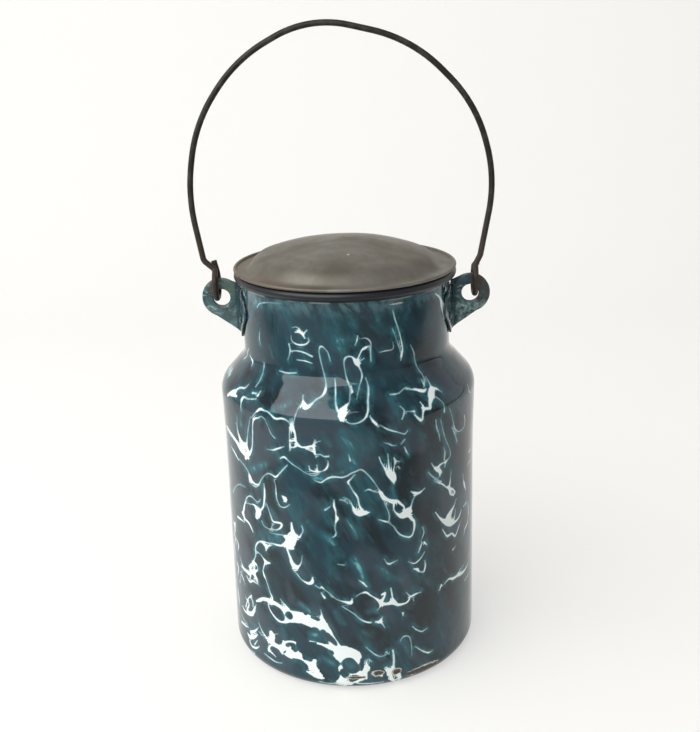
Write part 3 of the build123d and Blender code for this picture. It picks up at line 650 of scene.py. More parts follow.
# Lighter teal clouds on the front, drawn the same way
frontClouds = (
    ((322, 312, 6), (330, 320, 10), (336, 330, 14), (340, 342, 12), (343, 352, 6)),
    ((350, 316, 6), (352, 326, 8), (350, 338, 6)),
    ((262, 306, 5), (268, 312, 5), (270, 318, 4)),
    ((256, 300, 6), (252, 312, 5), (250, 322, 3)),
    ((378, 316, 5), (378, 320, 5)),
    ((345, 432, 8), (352, 440, 16), (362, 443, 18), (370, 446, 12)),
    ((345, 462, 10), (352, 464, 12)),
    ((322, 433, 3), (326, 442, 5), (330, 446, 3)),
    ((315, 478, 6), (325, 478, 5), (340, 474, 4), (352, 466, 6)),
    ((240, 414, 5), (241, 425, 6)),
    ((262, 535, 8), (272, 537, 9), (280, 539, 6)),
    ((268, 508, 4), (273, 513, 5), (278, 519, 4)),
    ((322, 504, 8), (326, 512, 10), (328, 524, 6)),
    ((308, 522, 4), (318, 532, 6), (328, 538, 7), (334, 544, 5)),
    ((348, 520, 5), (353, 530, 6), (356, 538, 4)),
    ((354, 560, 7), (358, 568, 8), (362, 576, 6), (366, 584, 5)),
    ((376, 566, 3), (384, 572, 6), (389, 578, 5)),
    ((390, 400, 5), (394, 408, 6), (398, 414, 4)),
    ((386, 448, 4), (390, 458, 4)),
    ((366, 478, 4), (372, 488, 5), (378, 498, 5)),
    ((392, 488, 5), (394, 498, 5)),
    ((300, 604, 4), (308, 610, 5), (316, 615, 4)),
    ((311, 634, 6), (318, 636, 6), (326, 640, 4)),
    ((336, 612, 4), (340, 620, 5), (344, 624, 4)),
    ((364, 632, 4), (371, 634, 6)),
    ((368, 612, 5), (376, 610, 5)),
    ((345, 664, 6), (352, 666, 6)),
    ((322, 658, 4), (330, 662, 6), (338, 664, 5)),
    ((288, 404, 6), (276, 410, 7)),
    ((292, 462, 3), (296, 470, 3)),
    ((440, 425, 4), (444, 440, 4), (448, 452, 3)),
    ((416, 524, 5), (420, 534, 5)),
    ((250, 470, 6), (262, 466, 6), (268, 463, 4)),
    ((270, 616, 5), (276, 618, 4)),
    ((282, 630, 6), (284, 636, 6)),
    ((404, 640, 6), (408, 650, 5)),
    ((256, 626, 3), (250, 622, 4)),
    ((262, 522, 4), (266, 526, 4)),
    ((385, 592, 5), (388, 600, 5)),
    ((414, 588, 5), (420, 590, 4)),
    ((300, 352, 4), (306, 362, 4), (312, 368, 4)),
    ((366, 362, 4), (380, 372, 5), (384, 384, 4)),
)

# Dark cells that the broad white stretches close around
frontCells = (
    ((274, 608, 5), (278, 613, 8), (281, 617, 6)),
    ((289, 615.5, 6),),
    ((305.5, 613, 4),),
    ((315, 632, 7), (316.5, 637, 7)),
    ((323, 632, 4.5), (325, 638, 6), (325, 642, 4)),
    ((331, 637, 3), (334, 642, 4), (336, 644.5, 3)),
    ((277, 637, 4.5), (279, 640, 5.5)),
    ((287, 645.3, 3.4),),
    ((293, 646, 4), (295, 649.5, 4.5)),
    ((302, 646, 8), (309, 649.5, 13), (317, 652, 11), (322, 654, 6)),
    ((326, 650.5, 4), (331, 653, 4.5)),
    ((305, 657.5, 4.5), (310, 659, 4.5)),
    ((294, 660, 3.5), (300, 663, 5.5), (305, 666.5, 5)),
    ((322, 662, 6), (328, 670, 13), (332, 676, 8)),
    ((327, 657, 3.5), (333, 661, 5), (338, 664, 4)),
    ((349, 664, 8.5), (353, 668, 8)),
    ((343.5, 672, 5.5), (345, 675, 5)),
    ((361.5, 659, 2.5), (362, 665, 3.5), (361.5, 670, 2.5)),
    ((352, 679, 5), (357, 677.5, 4)),
    ((273, 648, 2.5), (276, 652, 4), (278, 656, 2.5)),
    ((262, 637, 3), (265, 641, 4.5), (267.5, 645, 3)),
    ((285.5, 651, 2), (284, 653, 2)),
    ((244, 612, 2.4),),
    ((250.5, 609, 2),),
    ((251.5, 617.5, 2), (254, 616.5, 1.8)),
    ((370, 673, 4), (370, 677, 4)),
    ((384.5, 673, 3.4), (385, 677, 3.4)),
    ((391.5, 671.5, 1.6), (392, 673, 1.6)),
    ((312, 617, 3), (318, 619.5, 3.4)),
    ((299, 606, 4), (305, 611, 4)),
)


# Swirl enamel: dark teal glass with lighter clouds, crossed by white veins that thicken where they meet.
# Sizes are in millimetres. A name that ends in Shows, Edge, Wisps or Thins holds a step's limits and results,
# and one that ends in Noise a noise's size, detail and roughness.
swirl = {
    "deep": shade("0b1c22"),
    "dark": shade("173640"),
    "cloud": shade("2a636c"),
    "greyAndReflection": shade("314049"),
    "mist": shade("54767b"),
    "pale": shade("6fa9b1"),
    "white": shade("e2e9e6"),
    "trim": shade("191a1f"),
    "trimLine": shade("8c9696"),
    "groundCoat": shade("8f897b"),
    "groundPale": shade("c4c2b6"),
    "bareSteel": shade("39332c"),
    "rust": shade("51473c"),
    "inside": shade("dcdcd4"),
    "insideCloud": shade("c9cbc3"),
    "lean": 0.0075,  # radians a millimetre
    "flowStretch": (1.0, 1.0, 0.72),
    "flowSwirls": ((46.0, 20.0, 1.0), (13.0, 4.6, 2.0), (4.2, 0.9, 2.0)),  # size, reach and detail
    "slant": (0.45, 0.42),
    "driftSwirls": ((30.0, 9.0), (8.0, 2.2)),
    "patchNoise": (34.0, 2.0),
    "thinNoise": (9.0, 2.0),
    "nets": (  # cell size, softness, seed, and how patches and thin places limit the lines
        (14.0, 0.5, 11.0, (0.34, 0.66, 0.40, 0.20), (0.3, 0.7, 0.0, 0.14)),
        (6.0, 0.6, 47.0, (0.50, 0.66, 0.60, 0.22), (0.3, 0.7, 0.0, 0.1)),
    ),
    "netReach": 9.0,
    "streakNoise": (9.0, 4.0, 0.6),
    "streakShows": (0.50, 0.70),
    "cloudNoise": (26.0, 2.0),
    "cloudShows": (0.38, 0.6),
    "raggedNoise": (2.6, 2.0, 0.6),
    "raggedVein": 0.45,
    "raggedCell": 0.5,
    "veinEnd": 0.55,
    "mistShows": (0.34, 0.62, 0.25, 1.0),
    "cloudBehindDrawn": 0.55,
    "whiteShows": (0.07, -0.07),
    "rimShows": (0.5, 0.0),
    "hazeShows": (3.0, 0.1),
    "broadNoise": ((90.0, 0.0, 0.0), 16.0, 4.0),  # with an offset first, as the next two
    "wispNoise": ((0.0, 50.0, 0.0), 3.6, 3.0, 0.6),
    "greyNoise": ((0.0, 0.0, 200.0), 30.0, 2.0),
    "darkShows": (0.36, 0.62),
    "greyShows": (0.48, 0.58),
    "greyHeight": (160.0, 140.0, 0.45, 0.9),
    "cloudWisps": (0.25, 0.65, 0.45, 1.0),
    "cloudShare": 0.9,
    "hazeWisps": (0.42, 0.66, 0.05, 0.8),
    "paleShows": (0.62, 1.0),
    "paleWisps": (0.45, 0.8),
    "rimThins": (0.35, 0.65, 0.25, 0.8),
    "opaqueShows": (0.12, 0.42, 0.3, 1.0),
    "opaqueThins": (0.5, 0.7),
    "trimHeight": 195.4,
    "trimWave": (15.0, 1.1),
    "underShows": (-9.0, -1.0),  # below the trim, as the next two
    "lineShows": (-0.8, -0.3, 0.0, 0.9),
    "trimShows": (-0.1, 0.3),
    "underWisps": (0.35, 0.62, 0.1, 0.75),
    "lineThins": (0.36, 0.55),
    "insideTrim": (-0.5, 0.0),
    "roughness": 0.06,
    "trimRoughness": 0.36,
    "chipRoughness": 0.6,
    "insideRoughness": 0.12,
    "gloss": 0.45,
    "wavyStretch": (1.0, 1.0, 0.6),
    "wavyNoise": (13.0, 2.0),
    "wavyRelief": (0.45, 0.45),
    "chipRelief": (0.12, 0.6),
    "brokenNoise": (2.2, 4.0, 0.65),
    "brokenDepth": 2.6,
    "gritNoise": (0.8, 3.0, 0.7),
    "chipEdge": (0.0, 0.12),
    "bareEdge": (0.0, 0.3),
    "groundShows": (0.35, 0.6),
    "rustShows": (0.4, 0.6),
    "insideNoise": (40.0, 4.0),
    "insideShows": (0.4, 0.65),
    "chips": (  # down to the ground coat: degrees from the front, height, half length in degrees, half height
        (1.5, 8.0, 4.8, 0.9), (11.4, 9.4, 2.9, 1.8), (20.0, 8.7, 2.5, 2.2),
        (28.5, 5.4, 4.5, 1.5), (35.0, 6.1, 7.5, 1.6), (29.0, 192.4, 4.0, 0.42),
    ),
    "bareSpots": (  # down to the steel
        (2.0, 8.0, 3.6, 0.7), (11.8, 9.5, 2.2, 1.3), (20.3, 8.5, 1.9, 1.6), (33.0, 5.4, 10.0, 1.5),
    ),
}


def swirlEnamel(look):
    m = finishBench("frontEnamel")
    p = m.place

    # the pattern leans, because it is twisted round the pail with height
    turned = m.add("ShaderNodeVectorRotate", {"Vector": p, "Angle": m.times(m.z, look["lean"])})
    flow = m.vector("MULTIPLY", turned, look["flowStretch"])
    for push in look["flowSwirls"]:
        flow = m.swirled(flow, *push)

    patch = m.noise(p, *look["patchNoise"])
    thin = m.noise(p, *look["thinNoise"])
    nets = []
    for cell, softness, seed, patches, thins in look["nets"]:
        values = {"Vector": m.vector("ADD", flow, (seed,) * 3), "Scale": 1 / cell, "Randomness": 1.0}
        near = m.add("ShaderNodeTexVoronoi", values, feature="F1")
        soft = m.add("ShaderNodeTexVoronoi", {**values, "Smoothness": softness}, feature="SMOOTH_F1")
        lines = m.math("DIVIDE", m.minus(near, soft), softness / 2)
        nets.append(m.minus(lines, m.plus(m.step(patch, *patches), m.step(thin, *thins))))
    # from here on the field is roughly millimetres from a vein's edge, below zero inside it
    field = m.times(m.math("MAXIMUM", *nets), -look["netReach"])

    # clouds are drawn out into streaks that slant down to the right
    aside, rise = look["slant"]
    drift = {0: m.plus(m.x, m.times(m.z, aside)), 1: m.y, 2: m.times(m.z, rise)}
    drift = m.add("ShaderNodeCombineXYZ", drift)
    for push in look["driftSwirls"]:
        drift = m.swirled(drift, *push)
    streak = m.noise(drift, *look["streakNoise"])
    cloud = m.step(m.noise(flow, *look["cloudNoise"]), *look["cloudShows"])
    cloud = m.times(m.step(streak, *look["streakShows"]), cloud)

    # on the front the drawn veins, cells and clouds take over
    ragged = m.minus(m.noise(p, *look["raggedNoise"]), 0.5)
    side, away, half = m.node("ShaderNodeSeparateXYZ", {0: m.attribute("vein", "Vector")}).outputs
    line = m.minus(m.math("ABSOLUTE", side), half)
    ended = m.minus(m.minus(away, half), look["veinEnd"])
    web = m.math("MINIMUM", m.math("MAXIMUM", line, ended), m.attribute("web"))
    web = m.plus(web, m.times(ragged, look["raggedVein"]))
    cell = m.plus(m.attribute("cell"), m.times(ragged, look["raggedCell"]))
    web = m.math("MAXIMUM", web, m.times(cell, -1.0))
    shown = m.attribute("front")
    field = m.math("MINIMUM", m.plus(field, m.times(shown, look["netReach"])), web)
    mist = m.times(m.attribute("cloud"), m.step(streak, *look["mistShows"]))
    cloud = m.math("MAXIMUM", m.times(cloud, m.blend(shown, 1.0, look["cloudBehindDrawn"])), mist)

    def shifted(place, offset, *noise):
        return m.noise(m.vector("ADD", place, offset), *noise)

    broad = shifted(drift, *look["broadNoise"])
    wisp = shifted(drift, *look["wispNoise"])
    # grey patches on the body: partly the enamel's own grey, partly a painted reflection of something
    # mid-grey in front of the pail
    greyAndReflectionShare = m.step(shifted(flow, *look["greyNoise"]), *look["greyShows"])
    colour = m.mix(m.step(broad, *look["darkShows"]), look["deep"], look["dark"])
    colour = m.over(colour, look["greyAndReflection"], greyAndReflectionShare, m.step(m.z, *look["greyHeight"]))
    cloud = m.times(cloud, m.step(wisp, *look["cloudWisps"]))
    colour = m.over(colour, look["cloud"], cloud, look["cloudShare"])
    haze = m.step(field, *look["hazeShows"])
    colour = m.over(colour, look["cloud"], haze, m.step(wisp, *look["hazeWisps"]))
    colour = m.over(colour, look["pale"], m.step(cloud, *look["paleShows"]), m.step(wisp, *look["paleWisps"]))
    rim = m.step(field, *look["rimShows"])
    colour = m.over(colour, look["pale"], rim, m.step(thin, *look["rimThins"]))
    # thin veins let the teal through
    opaque = m.math("MAXIMUM", m.step(half, *look["opaqueShows"]), m.step(thin, *look["opaqueThins"]))
    colour = m.over(colour, look["white"], m.step(field, *look["whiteShows"]), opaque)

    # the dark trim under the rim, with a pale line and a mist below it
    waveSize, waveHeight = look["trimWave"]
    edge = m.plus(m.z, m.times(m.noise(p, waveSize), waveHeight))
    edge = m.minus(edge, look["trimHeight"])
    under = m.step(edge, *look["underShows"])
    colour = m.over(colour, look["mist"], under, m.step(wisp, *look["underWisps"]))
    line = m.step(edge, *look["lineShows"])
    colour = m.over(colour, look["trimLine"], line, m.step(thin, *look["lineThins"]))
    trim = m.step(edge, *look["trimShows"])
    colour = m.over(colour, look["trim"], trim)

    roughness = m.blend(trim, look["roughness"], look["trimRoughness"])
    wavy = m.noise(m.vector("MULTIPLY", p, look["wavyStretch"]), *look["wavyNoise"])
    normal = m.relief(wavy, *look["wavyRelief"])

    angle = m.times(m.math("ARCTAN2", m.x, m.times(m.y, -1.0)), 180 / pi)
    broken = m.times(m.minus(m.noise(p, *look["brokenNoise"]), 0.5), look["brokenDepth"])

    def within(spots):
        deepest = -1.0
        for middle, height, reach, rise in spots:
            far = m.math("DIVIDE", m.minus(angle, middle), reach)
            high = m.math("DIVIDE", m.minus(m.z, height), rise)
            near = m.plus(m.times(far, far), m.times(high, high))
            deepest = m.math("MAXIMUM", deepest, m.minus(1.0, near))
        return m.plus(deepest, broken)

    chip = m.step(within(look["chips"]), *look["chipEdge"])
    bare = m.step(within(look["bareSpots"]), *look["bareEdge"])
    grit = m.noise(p, *look["gritNoise"])
    ground = m.mix(m.step(grit, *look["groundShows"]), look["groundCoat"], look["groundPale"])
    colour = m.over(colour, ground, chip)
    steel = m.mix(m.step(grit, *look["rustShows"]), look["bareSteel"], look["rust"])
    colour = m.over(colour, steel, chip, bare)
    roughness = m.blend(chip, roughness, look["chipRoughness"])
    normal = m.relief(m.times(chip, -1.0), *look["chipRelief"], normal)
    glaze = m.shader(Base_Color=colour, Roughness=roughness, Normal=normal, Specular_IOR_Level=look["gloss"])
    return m.finish(glaze)


def insideEnamel(look):
    m = finishBench("insideEnamel")
    cloud = m.step(m.noise(m.place, *look["insideNoise"]), *look["insideShows"])
    trim = m.step(m.minus(m.z, look["trimHeight"]), *look["insideTrim"])
    colour = m.over(m.mix(cloud, look["inside"], look["insideCloud"]), look["trim"], trim)
    return m.finish(m.shader(Base_Color=colour, Roughness=look["insideRoughness"]))


enamels = [swirlEnamel(swirl), insideEnamel(swirl)]
print("enamel mixed")


# Can: one turned sheet, the outside finely divided because it carries the drawn veins
can = {
    "wall": 1.0 * mm,
    "bodyRadius": 64.0 * mm,
    "waistRadius": 63.4 * mm,
    "waistHeight": 112.0 * mm,
    "bodyHeight": 144.6 * mm,
    "neckHeight": 158.8 * mm,
    "neckRadius": 51.2 * mm,
    "rimHeight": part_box("can_body")[1].z,
    "curlRadius": 2.15 * mm,
    "curlTurn": 280.0,
    "curlSteps": (10, 20),  # inside and outside the curl
    "ringRadius": 53.0 * mm,
    "recess": 1.5 * mm,
    "recessSlope": 3.0 * mm,
    "bends": (2.0 * mm, 3.0 * mm, 6.5 * mm, 900 * mm, 10.5 * mm, 9.5 * mm),
    "outsideSteps": (9 * mm, 2 * mm, 2 * mm, 0.85 * mm, 0.85 * mm, 0.8 * mm, 0.85 * mm),
    "outsideArc": 0.8 * mm,
    "insideStep": 12 * mm,
    "insideArc": 2.4 * mm,
    "frontHalf": 75.0,  # degrees on each side of the front that carry drawn veins
    "frontStep": 0.72,
    "backStep": 2.9,
    "frontFade": 12.0,
    "flatFoot": 0.3 * mm,  # below this height the foot stays flat
    "waveSize": 15 * mm,
    "waveDepth": 0.10 * mm,
    "profileTop": 200,  # the profile is tabled every half millimetre up to here
    "castStart": 100.0,  # height at which the search for a pixel's place starts
    "castRounds": 14,
    "veinSpacing": 0.45,
    "cloudSpacing": 1.2,
    "cellSpacing": 0.6,
    "thinnest": 0.05,
    "webSoftness": 0.3,
    "veinReach": 4.6,
    "veinWeight": 1.05,
    "veinContrast": 1.3,  # above 1, thin veins get thinner and broad ones broader
    "cellWeight": 1.35,
    "cloudCore": 0.4,
    "cloudFall": (1.1, 0.6),
}


# A smooth curve through the points, in places about this far apart
def smoothRun(points, spacing):
    samples = []
    padded = [points[0]] + points + [points[-1]]
    for before, start, end, after in zip(padded, padded[1:], padded[2:], padded[3:]):
        count = max(1, ceil(((end - start).xy.length) / spacing))
        for k in range(count):
            t = k / count
            bend = (end - before) * t + (2 * before - 5 * start + 4 * end - after) * t * t
            bend += (3 * start - before - 3 * end + after) * t ** 3
            samples.append(start + bend / 2)
    samples.append(points[-1])
    return samples


# The lens's focal length in pixels of the photograph
def focalPixels():
    return camera["lens"] / camera["sensor"] * camera["frame"][1]


# Point of the can's outside that a pixel of the photograph shows, and its distance from the camera, in
# millimetres
def onCan(x, y, radiusAt, sizes):
    holder = bpy.context.scene.camera
    right, up, back = (holder.matrix_world.col[i].xyz for i in range(3))
    start = holder.matrix_world.translation / mm
    focal = focalPixels()
    middleX, middleY = camera["frame"][0] / 2, camera["frame"][1] / 2
    ray = (right * (x - middleX) / focal - up * (y - middleY) / focal - back).normalized()
    flat, across = start.xy.dot(ray.xy), ray.xy.length_squared
    radius = radiusAt(sizes["castStart"])
    for tries in range(sizes["castRounds"]):
        inside = max(flat * flat - across * (start.xy.length_squared - radius * radius), 0.0)
        distance = -(flat + inside ** 0.5) / across
        place = start + ray * distance
        radius = radiusAt(place.z)
    return place, distance * -ray.dot(back)


# Stores on every outside vertex how it lies to the drawn veins, in millimetres
def drawVeins(piece, outerCount, radiusAt, sizes):
    def layRuns(runs, spacing):
        laid = []
        for number, run in enumerate(runs):
            points = []
            for x, y, width in run:
                place, distance = onCan(x, y, radiusAt, sizes)
                around = atan2(place.x, -place.y) * sizes["bodyRadius"] / mm
                half = width * distance / focalPixels() / 2
                points.append(Vector((around, place.z, sizes["veinWeight"] * half ** sizes["veinContrast"])))
            samples = smoothRun(points, spacing)
            places = []
            for s in samples:
                angle = s.x * mm / sizes["bodyRadius"]
                r = radiusAt(s.y)
                places.append(Vector((r * sin(angle), -r * cos(angle), s.y)))
            for i, place in enumerate(places):
                along = (places[min(i + 1, len(places) - 1)] - places[max(i - 1, 0)]).normalized()
                laid.append((place, along, max(samples[i].z, sizes["thinnest"]), number))
        tree = kdtree.KDTree(len(laid))
        for i, sample in enumerate(laid):
            tree.insert(sample[0], i)
        tree.balance()
        return laid, tree

    veinRuns, veinTree = layRuns(frontVeins, sizes["veinSpacing"])
    cloudRuns, cloudTree = layRuns(frontClouds, sizes["cloudSpacing"])
    cellRuns, cellTree = layRuns(frontCells, sizes["cellSpacing"])
    softness, far = sizes["webSoftness"], sizes["veinReach"]
    fall, fallStart = sizes["cloudFall"]
    lines, webs, mists, fronts, holes = [], [], [], [], []
    for index, vertex in enumerate(piece.data.vertices):
        angle = abs(degrees(atan2(vertex.co.x, -vertex.co.y)))
        shown = min(1.0, max(0.0, (sizes["frontHalf"] - angle) / sizes["frontFade"]))
        if index >= outerCount:
            shown = 0.0
        line, web, mist, hole = (far, far, 0.0), far, 0.0, far
        if shown > 0:
            place = vertex.co / mm
            out = Vector((place.x, place.y, 0)).normalized()
            nearest = {}
            best = None
            for where, i, distance in veinTree.find_range(place, far):
                half, number = veinRuns[i][2], veinRuns[i][3]
                gap = distance - half
                nearest[number] = min(gap, nearest.get(number, far))
                if best is None or gap < best[0]:
                    best = (gap, i, distance)
            if best:
                where, along, half, number = veinRuns[best[1]]
                line = (along.cross(place - where).dot(out), best[2], half)
                total = sum(exp(-gap / softness) for gap in nearest.values())
                web = min(far, -softness * log(max(total, 1e-9)))
            for where, i, distance in cloudTree.find_range(place, 2 * far):
                half = cloudRuns[i][2]
                outside = max(0.0, distance - half * sizes["cloudCore"])
                mist = max(mist, 1.0 - outside / (half * fall + fallStart))
            for where, i, distance in cellTree.find_range(place, far):
                hole = min(hole, distance - cellRuns[i][2] * sizes["cellWeight"])
        lines += line
        webs.append(web)
        mists.append(mist)
        fronts.append(shown)
        holes.append(hole)
    attributes = piece.data.attributes
    attributes.new("vein", "FLOAT_VECTOR", "POINT").data.foreach_set("vector", lines)
    for name, values in (("web", webs), ("cloud", mists), ("front", fronts), ("cell", holes)):
        attributes.new(name, "FLOAT", "POINT").data.foreach_set("value", values)


def buildCan(sizes):
    wall, ring, recess = sizes["wall"], sizes["ringRadius"], sizes["recess"]
    curlHeight = sizes["rimHeight"] - sizes["curlRadius"]
    curlCentre = Vector((sizes["neckRadius"] - wall + sizes["curlRadius"], 0, curlHeight))
    corners = (
        (0, 0, recess),
        (ring - sizes["recessSlope"], 0, recess),
        (ring, 0, 0),
        (sizes["bodyRadius"], 0, 0),
        (sizes["waistRadius"], 0, sizes["waistHeight"]),
        (sizes["bodyRadius"], 0, sizes["bodyHeight"]),
        (sizes["neckRadius"], 0, sizes["neckHeight"]),
        (sizes["neckRadius"], 0, curlHeight),
    )
    outside = bentLine(corners, sizes["bends"], sizes["outsideSteps"], sizes["outsideArc"])

    def curl(radius, start, end, count):
        points = []
        for i in range(count + 1):
            angle = radians(start + (end - start) * i / count)
            points.append(curlCentre + Vector((cos(angle), 0, sin(angle))) * radius)
        return points

    end = 180 - sizes["curlTurn"]
    hollowSteps, rollSteps = sizes["curlSteps"]
    hollow = curl(sizes["curlRadius"] - wall, 180, end, hollowSteps)[1:]
    roll = curl(sizes["curlRadius"], end, 180, rollSteps)
    coarse = bentLine(corners, sizes["bends"], (sizes["insideStep"],) * 7, sizes["insideArc"])
    inside = [Vector((0, 0, recess + wall))] + offsetLine(coarse, wall)
    profile = outside + hollow + roll + inside[::-1]
    outer = len(outside) - 1
    rim = outer + len(hollow) + len(roll)

    def wave(place, normal, j):
        if j >= outer or place.z < sizes["flatFoot"]:
            return place
        depth = noise.noise(place / sizes["waveSize"]) - 1.0
        return place + normal * depth * sizes["waveDepth"] / 2

    half, fine, wide = sizes["frontHalf"], sizes["frontStep"], sizes["backStep"]
    frontCount = round(2 * half / fine)
    backCount = round((360 - 2 * half) / wide)
    angles = [radians(-half + 2 * half * i / frontCount) for i in range(frontCount)]
    angles += [radians(half + (360 - 2 * half) * i / backCount) for i in range(backCount)]
    piece = turnedPiece("enamelCan", profile, angles, enamels, lambda j: int(j >= rim), wave)

    # the outside's radius by height, for the veins that are cast on it
    lowest = min(range(len(outside)), key=lambda i: outside[i].z)
    side = [p / mm for p in outside[lowest:]]
    table = []
    for halfSteps in range(2 * sizes["profileTop"] + 2):
        height = halfSteps / 2
        below = [p for p in side if p.z <= height] or side[:1]
        above = [p for p in side if p.z > height] or side[-1:]
        low, high = below[-1], above[0]
        share = (height - low.z) / (high.z - low.z) if high.z > low.z else 0.0
        table.append(low.x + (high.x - low.x) * min(max(share, 0.0), 1.0))

    def radiusAt(height):
        place = min(max(height, 0.0), sizes["profileTop"]) * 2
        low = int(place)
        return table[low] + (table[low + 1] - table[low]) * (place - low)

    drawVeins(piece, outer * len(angles), radiusAt, sizes)
    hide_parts("can_body")
    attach(piece, "can")
    print("can turned:", len(piece.data.polygons), "faces")


buildCan(can)


# Ears: the pressed sheet of the frame, rounded off by its thick coat of glaze
ears = {
    "voxel": 0.3 * mm,
    "weld": 0.002 * mm,
    "smoothing": (0.5, 6),  # factor and rounds
    "waveSize": 3.5 * mm,
    "waveDepth": 0.08 * mm,
    "holeX": 61.5,
    "holeHeight": 185.5,
    "holeEdge": (4.75, 4.3),
    "footEdge": (55.5, 54.0),
    "glaze": shade("3f5d5f"),
    "glazeDark": shade("1d3337"),
    "glazePale": shade("9db8b4"),
    "glazeGreen": shade("5a7060"),
    "glazeGrey": shade("3a383d"),
    "footGlaze": shade("15303a"),
    "footShare": 0.8,
    "rust": shade("4b3a2c"),
    "swirl": (7.0, 3.0),
    "cloudNoise": (7.0, 3.0),
    "cloudShows": (0.36, 0.6),
    "wispStretch": (1.0, 1.0, 2.0),
    "wispNoise": (4.0, 4.0, 0.6),
    "wispShows": (0.52, 0.72),
    "wispShare": 0.75,
    "sideBlend": 5.0,  # left and right differ beyond this distance from the middle
    "leftHighlight": (-2.0, -7.0, 0.0, 0.16),
    "leftGreen": ((2.0, -3.0), (-2.0, 4.0, 0.0, 0.8)),
    "rightGrey": (1.5, 5.0, 0.0, 0.75),
    "scuffNoise": (2.0, 4.0, 0.7),
    "scuffs": ((-3.0, -6.5), (0.4, 0.62, 0.0, 0.6)),
    "wornPlace": 3.5,
    "wornWave": 5.0,
    "wornReach": (7.5, 3.5),
    "wornAbove": (0.5, 5.0),
    "rustShare": 0.8,
    "roughness": (0.12, 0.5),  # of the glaze and where it is worn
    "reliefNoise": (2.2, 2.0),
    "relief": (0.3, 0.5),
}


def earGlaze(look):
    m = finishBench("earGlaze")
    p = m.place
    soft = m.swirled(p, *look["swirl"])
    cloud = m.noise(soft, *look["cloudNoise"])
    wisp = m.noise(m.vector("MULTIPLY", soft, look["wispStretch"]), *look["wispNoise"])
    colour = m.mix(m.step(cloud, *look["cloudShows"]), look["glazeDark"], look["glaze"])
    colour = m.over(colour, look["glazePale"], m.step(wisp, *look["wispShows"]), look["wispShare"])
    side = m.minus(m.math("ABSOLUTE", m.x), look["holeX"])
    up = m.minus(m.z, look["holeHeight"])
    left = m.step(m.x, look["sideBlend"], -look["sideBlend"])
    right = m.minus(1.0, left)
    # painted highlight: the left ear is made paler below its eye, where its plate faces the window
    colour = m.over(colour, look["glazePale"], left, m.step(up, *look["leftHighlight"]))
    inner, upper = look["leftGreen"]
    colour = m.over(colour, look["glazeGreen"], left, m.step(side, *inner), m.step(up, *upper))
    colour = m.over(colour, look["glazeGrey"], right, m.step(side, *look["rightGrey"]))
    lower, patches = look["scuffs"]
    scuffed = m.step(m.noise(p, *look["scuffNoise"]), *patches)
    colour = m.over(colour, look["glazePale"], right, m.step(up, *lower), scuffed)
    # the foot has the can's own dark glaze
    foot = m.step(m.math("ABSOLUTE", m.x), *look["footEdge"])
    colour = m.over(colour, look["footGlaze"], foot, look["footShare"])
    # the wire has rubbed rust over the top of the eye
    worn = m.plus(m.math("ABSOLUTE", m.minus(side, look["wornPlace"])), m.times(cloud, look["wornWave"]))
    worn = m.times(m.step(worn, *look["wornReach"]), m.step(up, *look["wornAbove"]))
    colour = m.over(colour, look["rust"], worn, look["rustShare"])
    away = m.math("SQRT", m.plus(m.times(side, side), m.times(up, up)))
    colour = m.over(colour, look["rust"], m.step(away, *look["holeEdge"]), look["rustShare"])
    rough = m.blend(worn, *look["roughness"])
    normal = m.relief(m.noise(p, *look["reliefNoise"]), *look["relief"])
    return m.finish(m.shader(Base_Color=colour, Roughness=rough, Normal=normal))


def bakedMesh(piece):
    graph = bpy.context.evaluated_depsgraph_get()
    mesh = bpy.data.meshes.new_from_object(piece.evaluated_get(graph))
    piece.modifiers.clear()
    return mesh


def glazedEar(nodeName, name, material, sizes):
    ear = bpy.data.objects.new(name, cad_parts[nodeName].data.copy())
    bpy.context.scene.collection.objects.link(ear)
    weld = ear.modifiers.new("weld", "WELD")
    weld.merge_threshold = sizes["weld"]
    remesh = ear.modifiers.new("remesh", "REMESH")
    remesh.mode = "VOXEL"
    remesh.voxel_size = sizes["voxel"]
    smooth = ear.modifiers.new("smooth", "SMOOTH")
    smooth.factor, smooth.iterations = sizes["smoothing"]
    ear.data = bakedMesh(ear)
    normals = [v.normal.copy() for v in ear.data.vertices]
    for vertex, normal in zip(ear.data.vertices, normals):
        vertex.co += normal * noise.noise(vertex.co / sizes["waveSize"]) * sizes["waveDepth"]
    ear.data.materials.clear()
    ear.data.materials.append(material)
    ear.data.polygons.foreach_set("use_smooth", [True] * len(ear.data.polygons))
    ear.data.update()
    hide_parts(nodeName)
    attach(ear, "can")


glaze = earGlaze(ears)
glazedEar("ear_left", "earLeft", glaze, ears)
glazedEar("ear_right", "earRight", glaze, ears)
print("ears glazed")


# Rivets: one low head, set four times through the feet of the ears
rivets = {
    "height": 177.5 * mm,
    "side": 13.0 * mm,
    "footRadius": 52.47 * mm,
    "headRadius": 1.85 * mm,
    "headRise": 0.95 * mm,
    "headEdge": 0.1 * mm,
    "tailReach": 3.3 * mm,  # from the head's seat to the end of the tail inside
    "tailRound": 0.45 * mm,
    "tailBack": (0.62 * mm, 0.66 * mm),
    "seatDepth": 0.02 * mm,
    "lip": 0.97,  # of the head's radius, as the next
    "shank": 0.66,
    "headAngles": (5, 25, 45, 65, 80),
    "tailAngles": (30, 60, 90),
    "roundSteps": 36,
    "count": 4,
}


def headProfile(sizes):
    radius, rise, reach = sizes["headRadius"], sizes["headRise"], sizes["tailReach"]
    lip, shank, edge = radius * sizes["lip"], radius * sizes["shank"], sizes["headEdge"]
    lipBack, shankBack = sizes["tailBack"]
    corners = [(0, -reach)]
    for angle in sizes["tailAngles"]:
        rounded = sizes["tailRound"] * (1 - cos(radians(angle)))
        corners.append((radius * sin(radians(angle)), -reach + rounded))
    corners += [(lip, -reach + lipBack), (shank, -reach + shankBack), (shank, -sizes["seatDepth"]), (lip, 0)]
    for angle in sizes["headAngles"]:
        corners.append((radius * cos(radians(angle)), edge + (rise - edge) * sin(radians(angle))))
    return [Vector((across, 0, height)) for across, height in corners + [(0, rise)]]


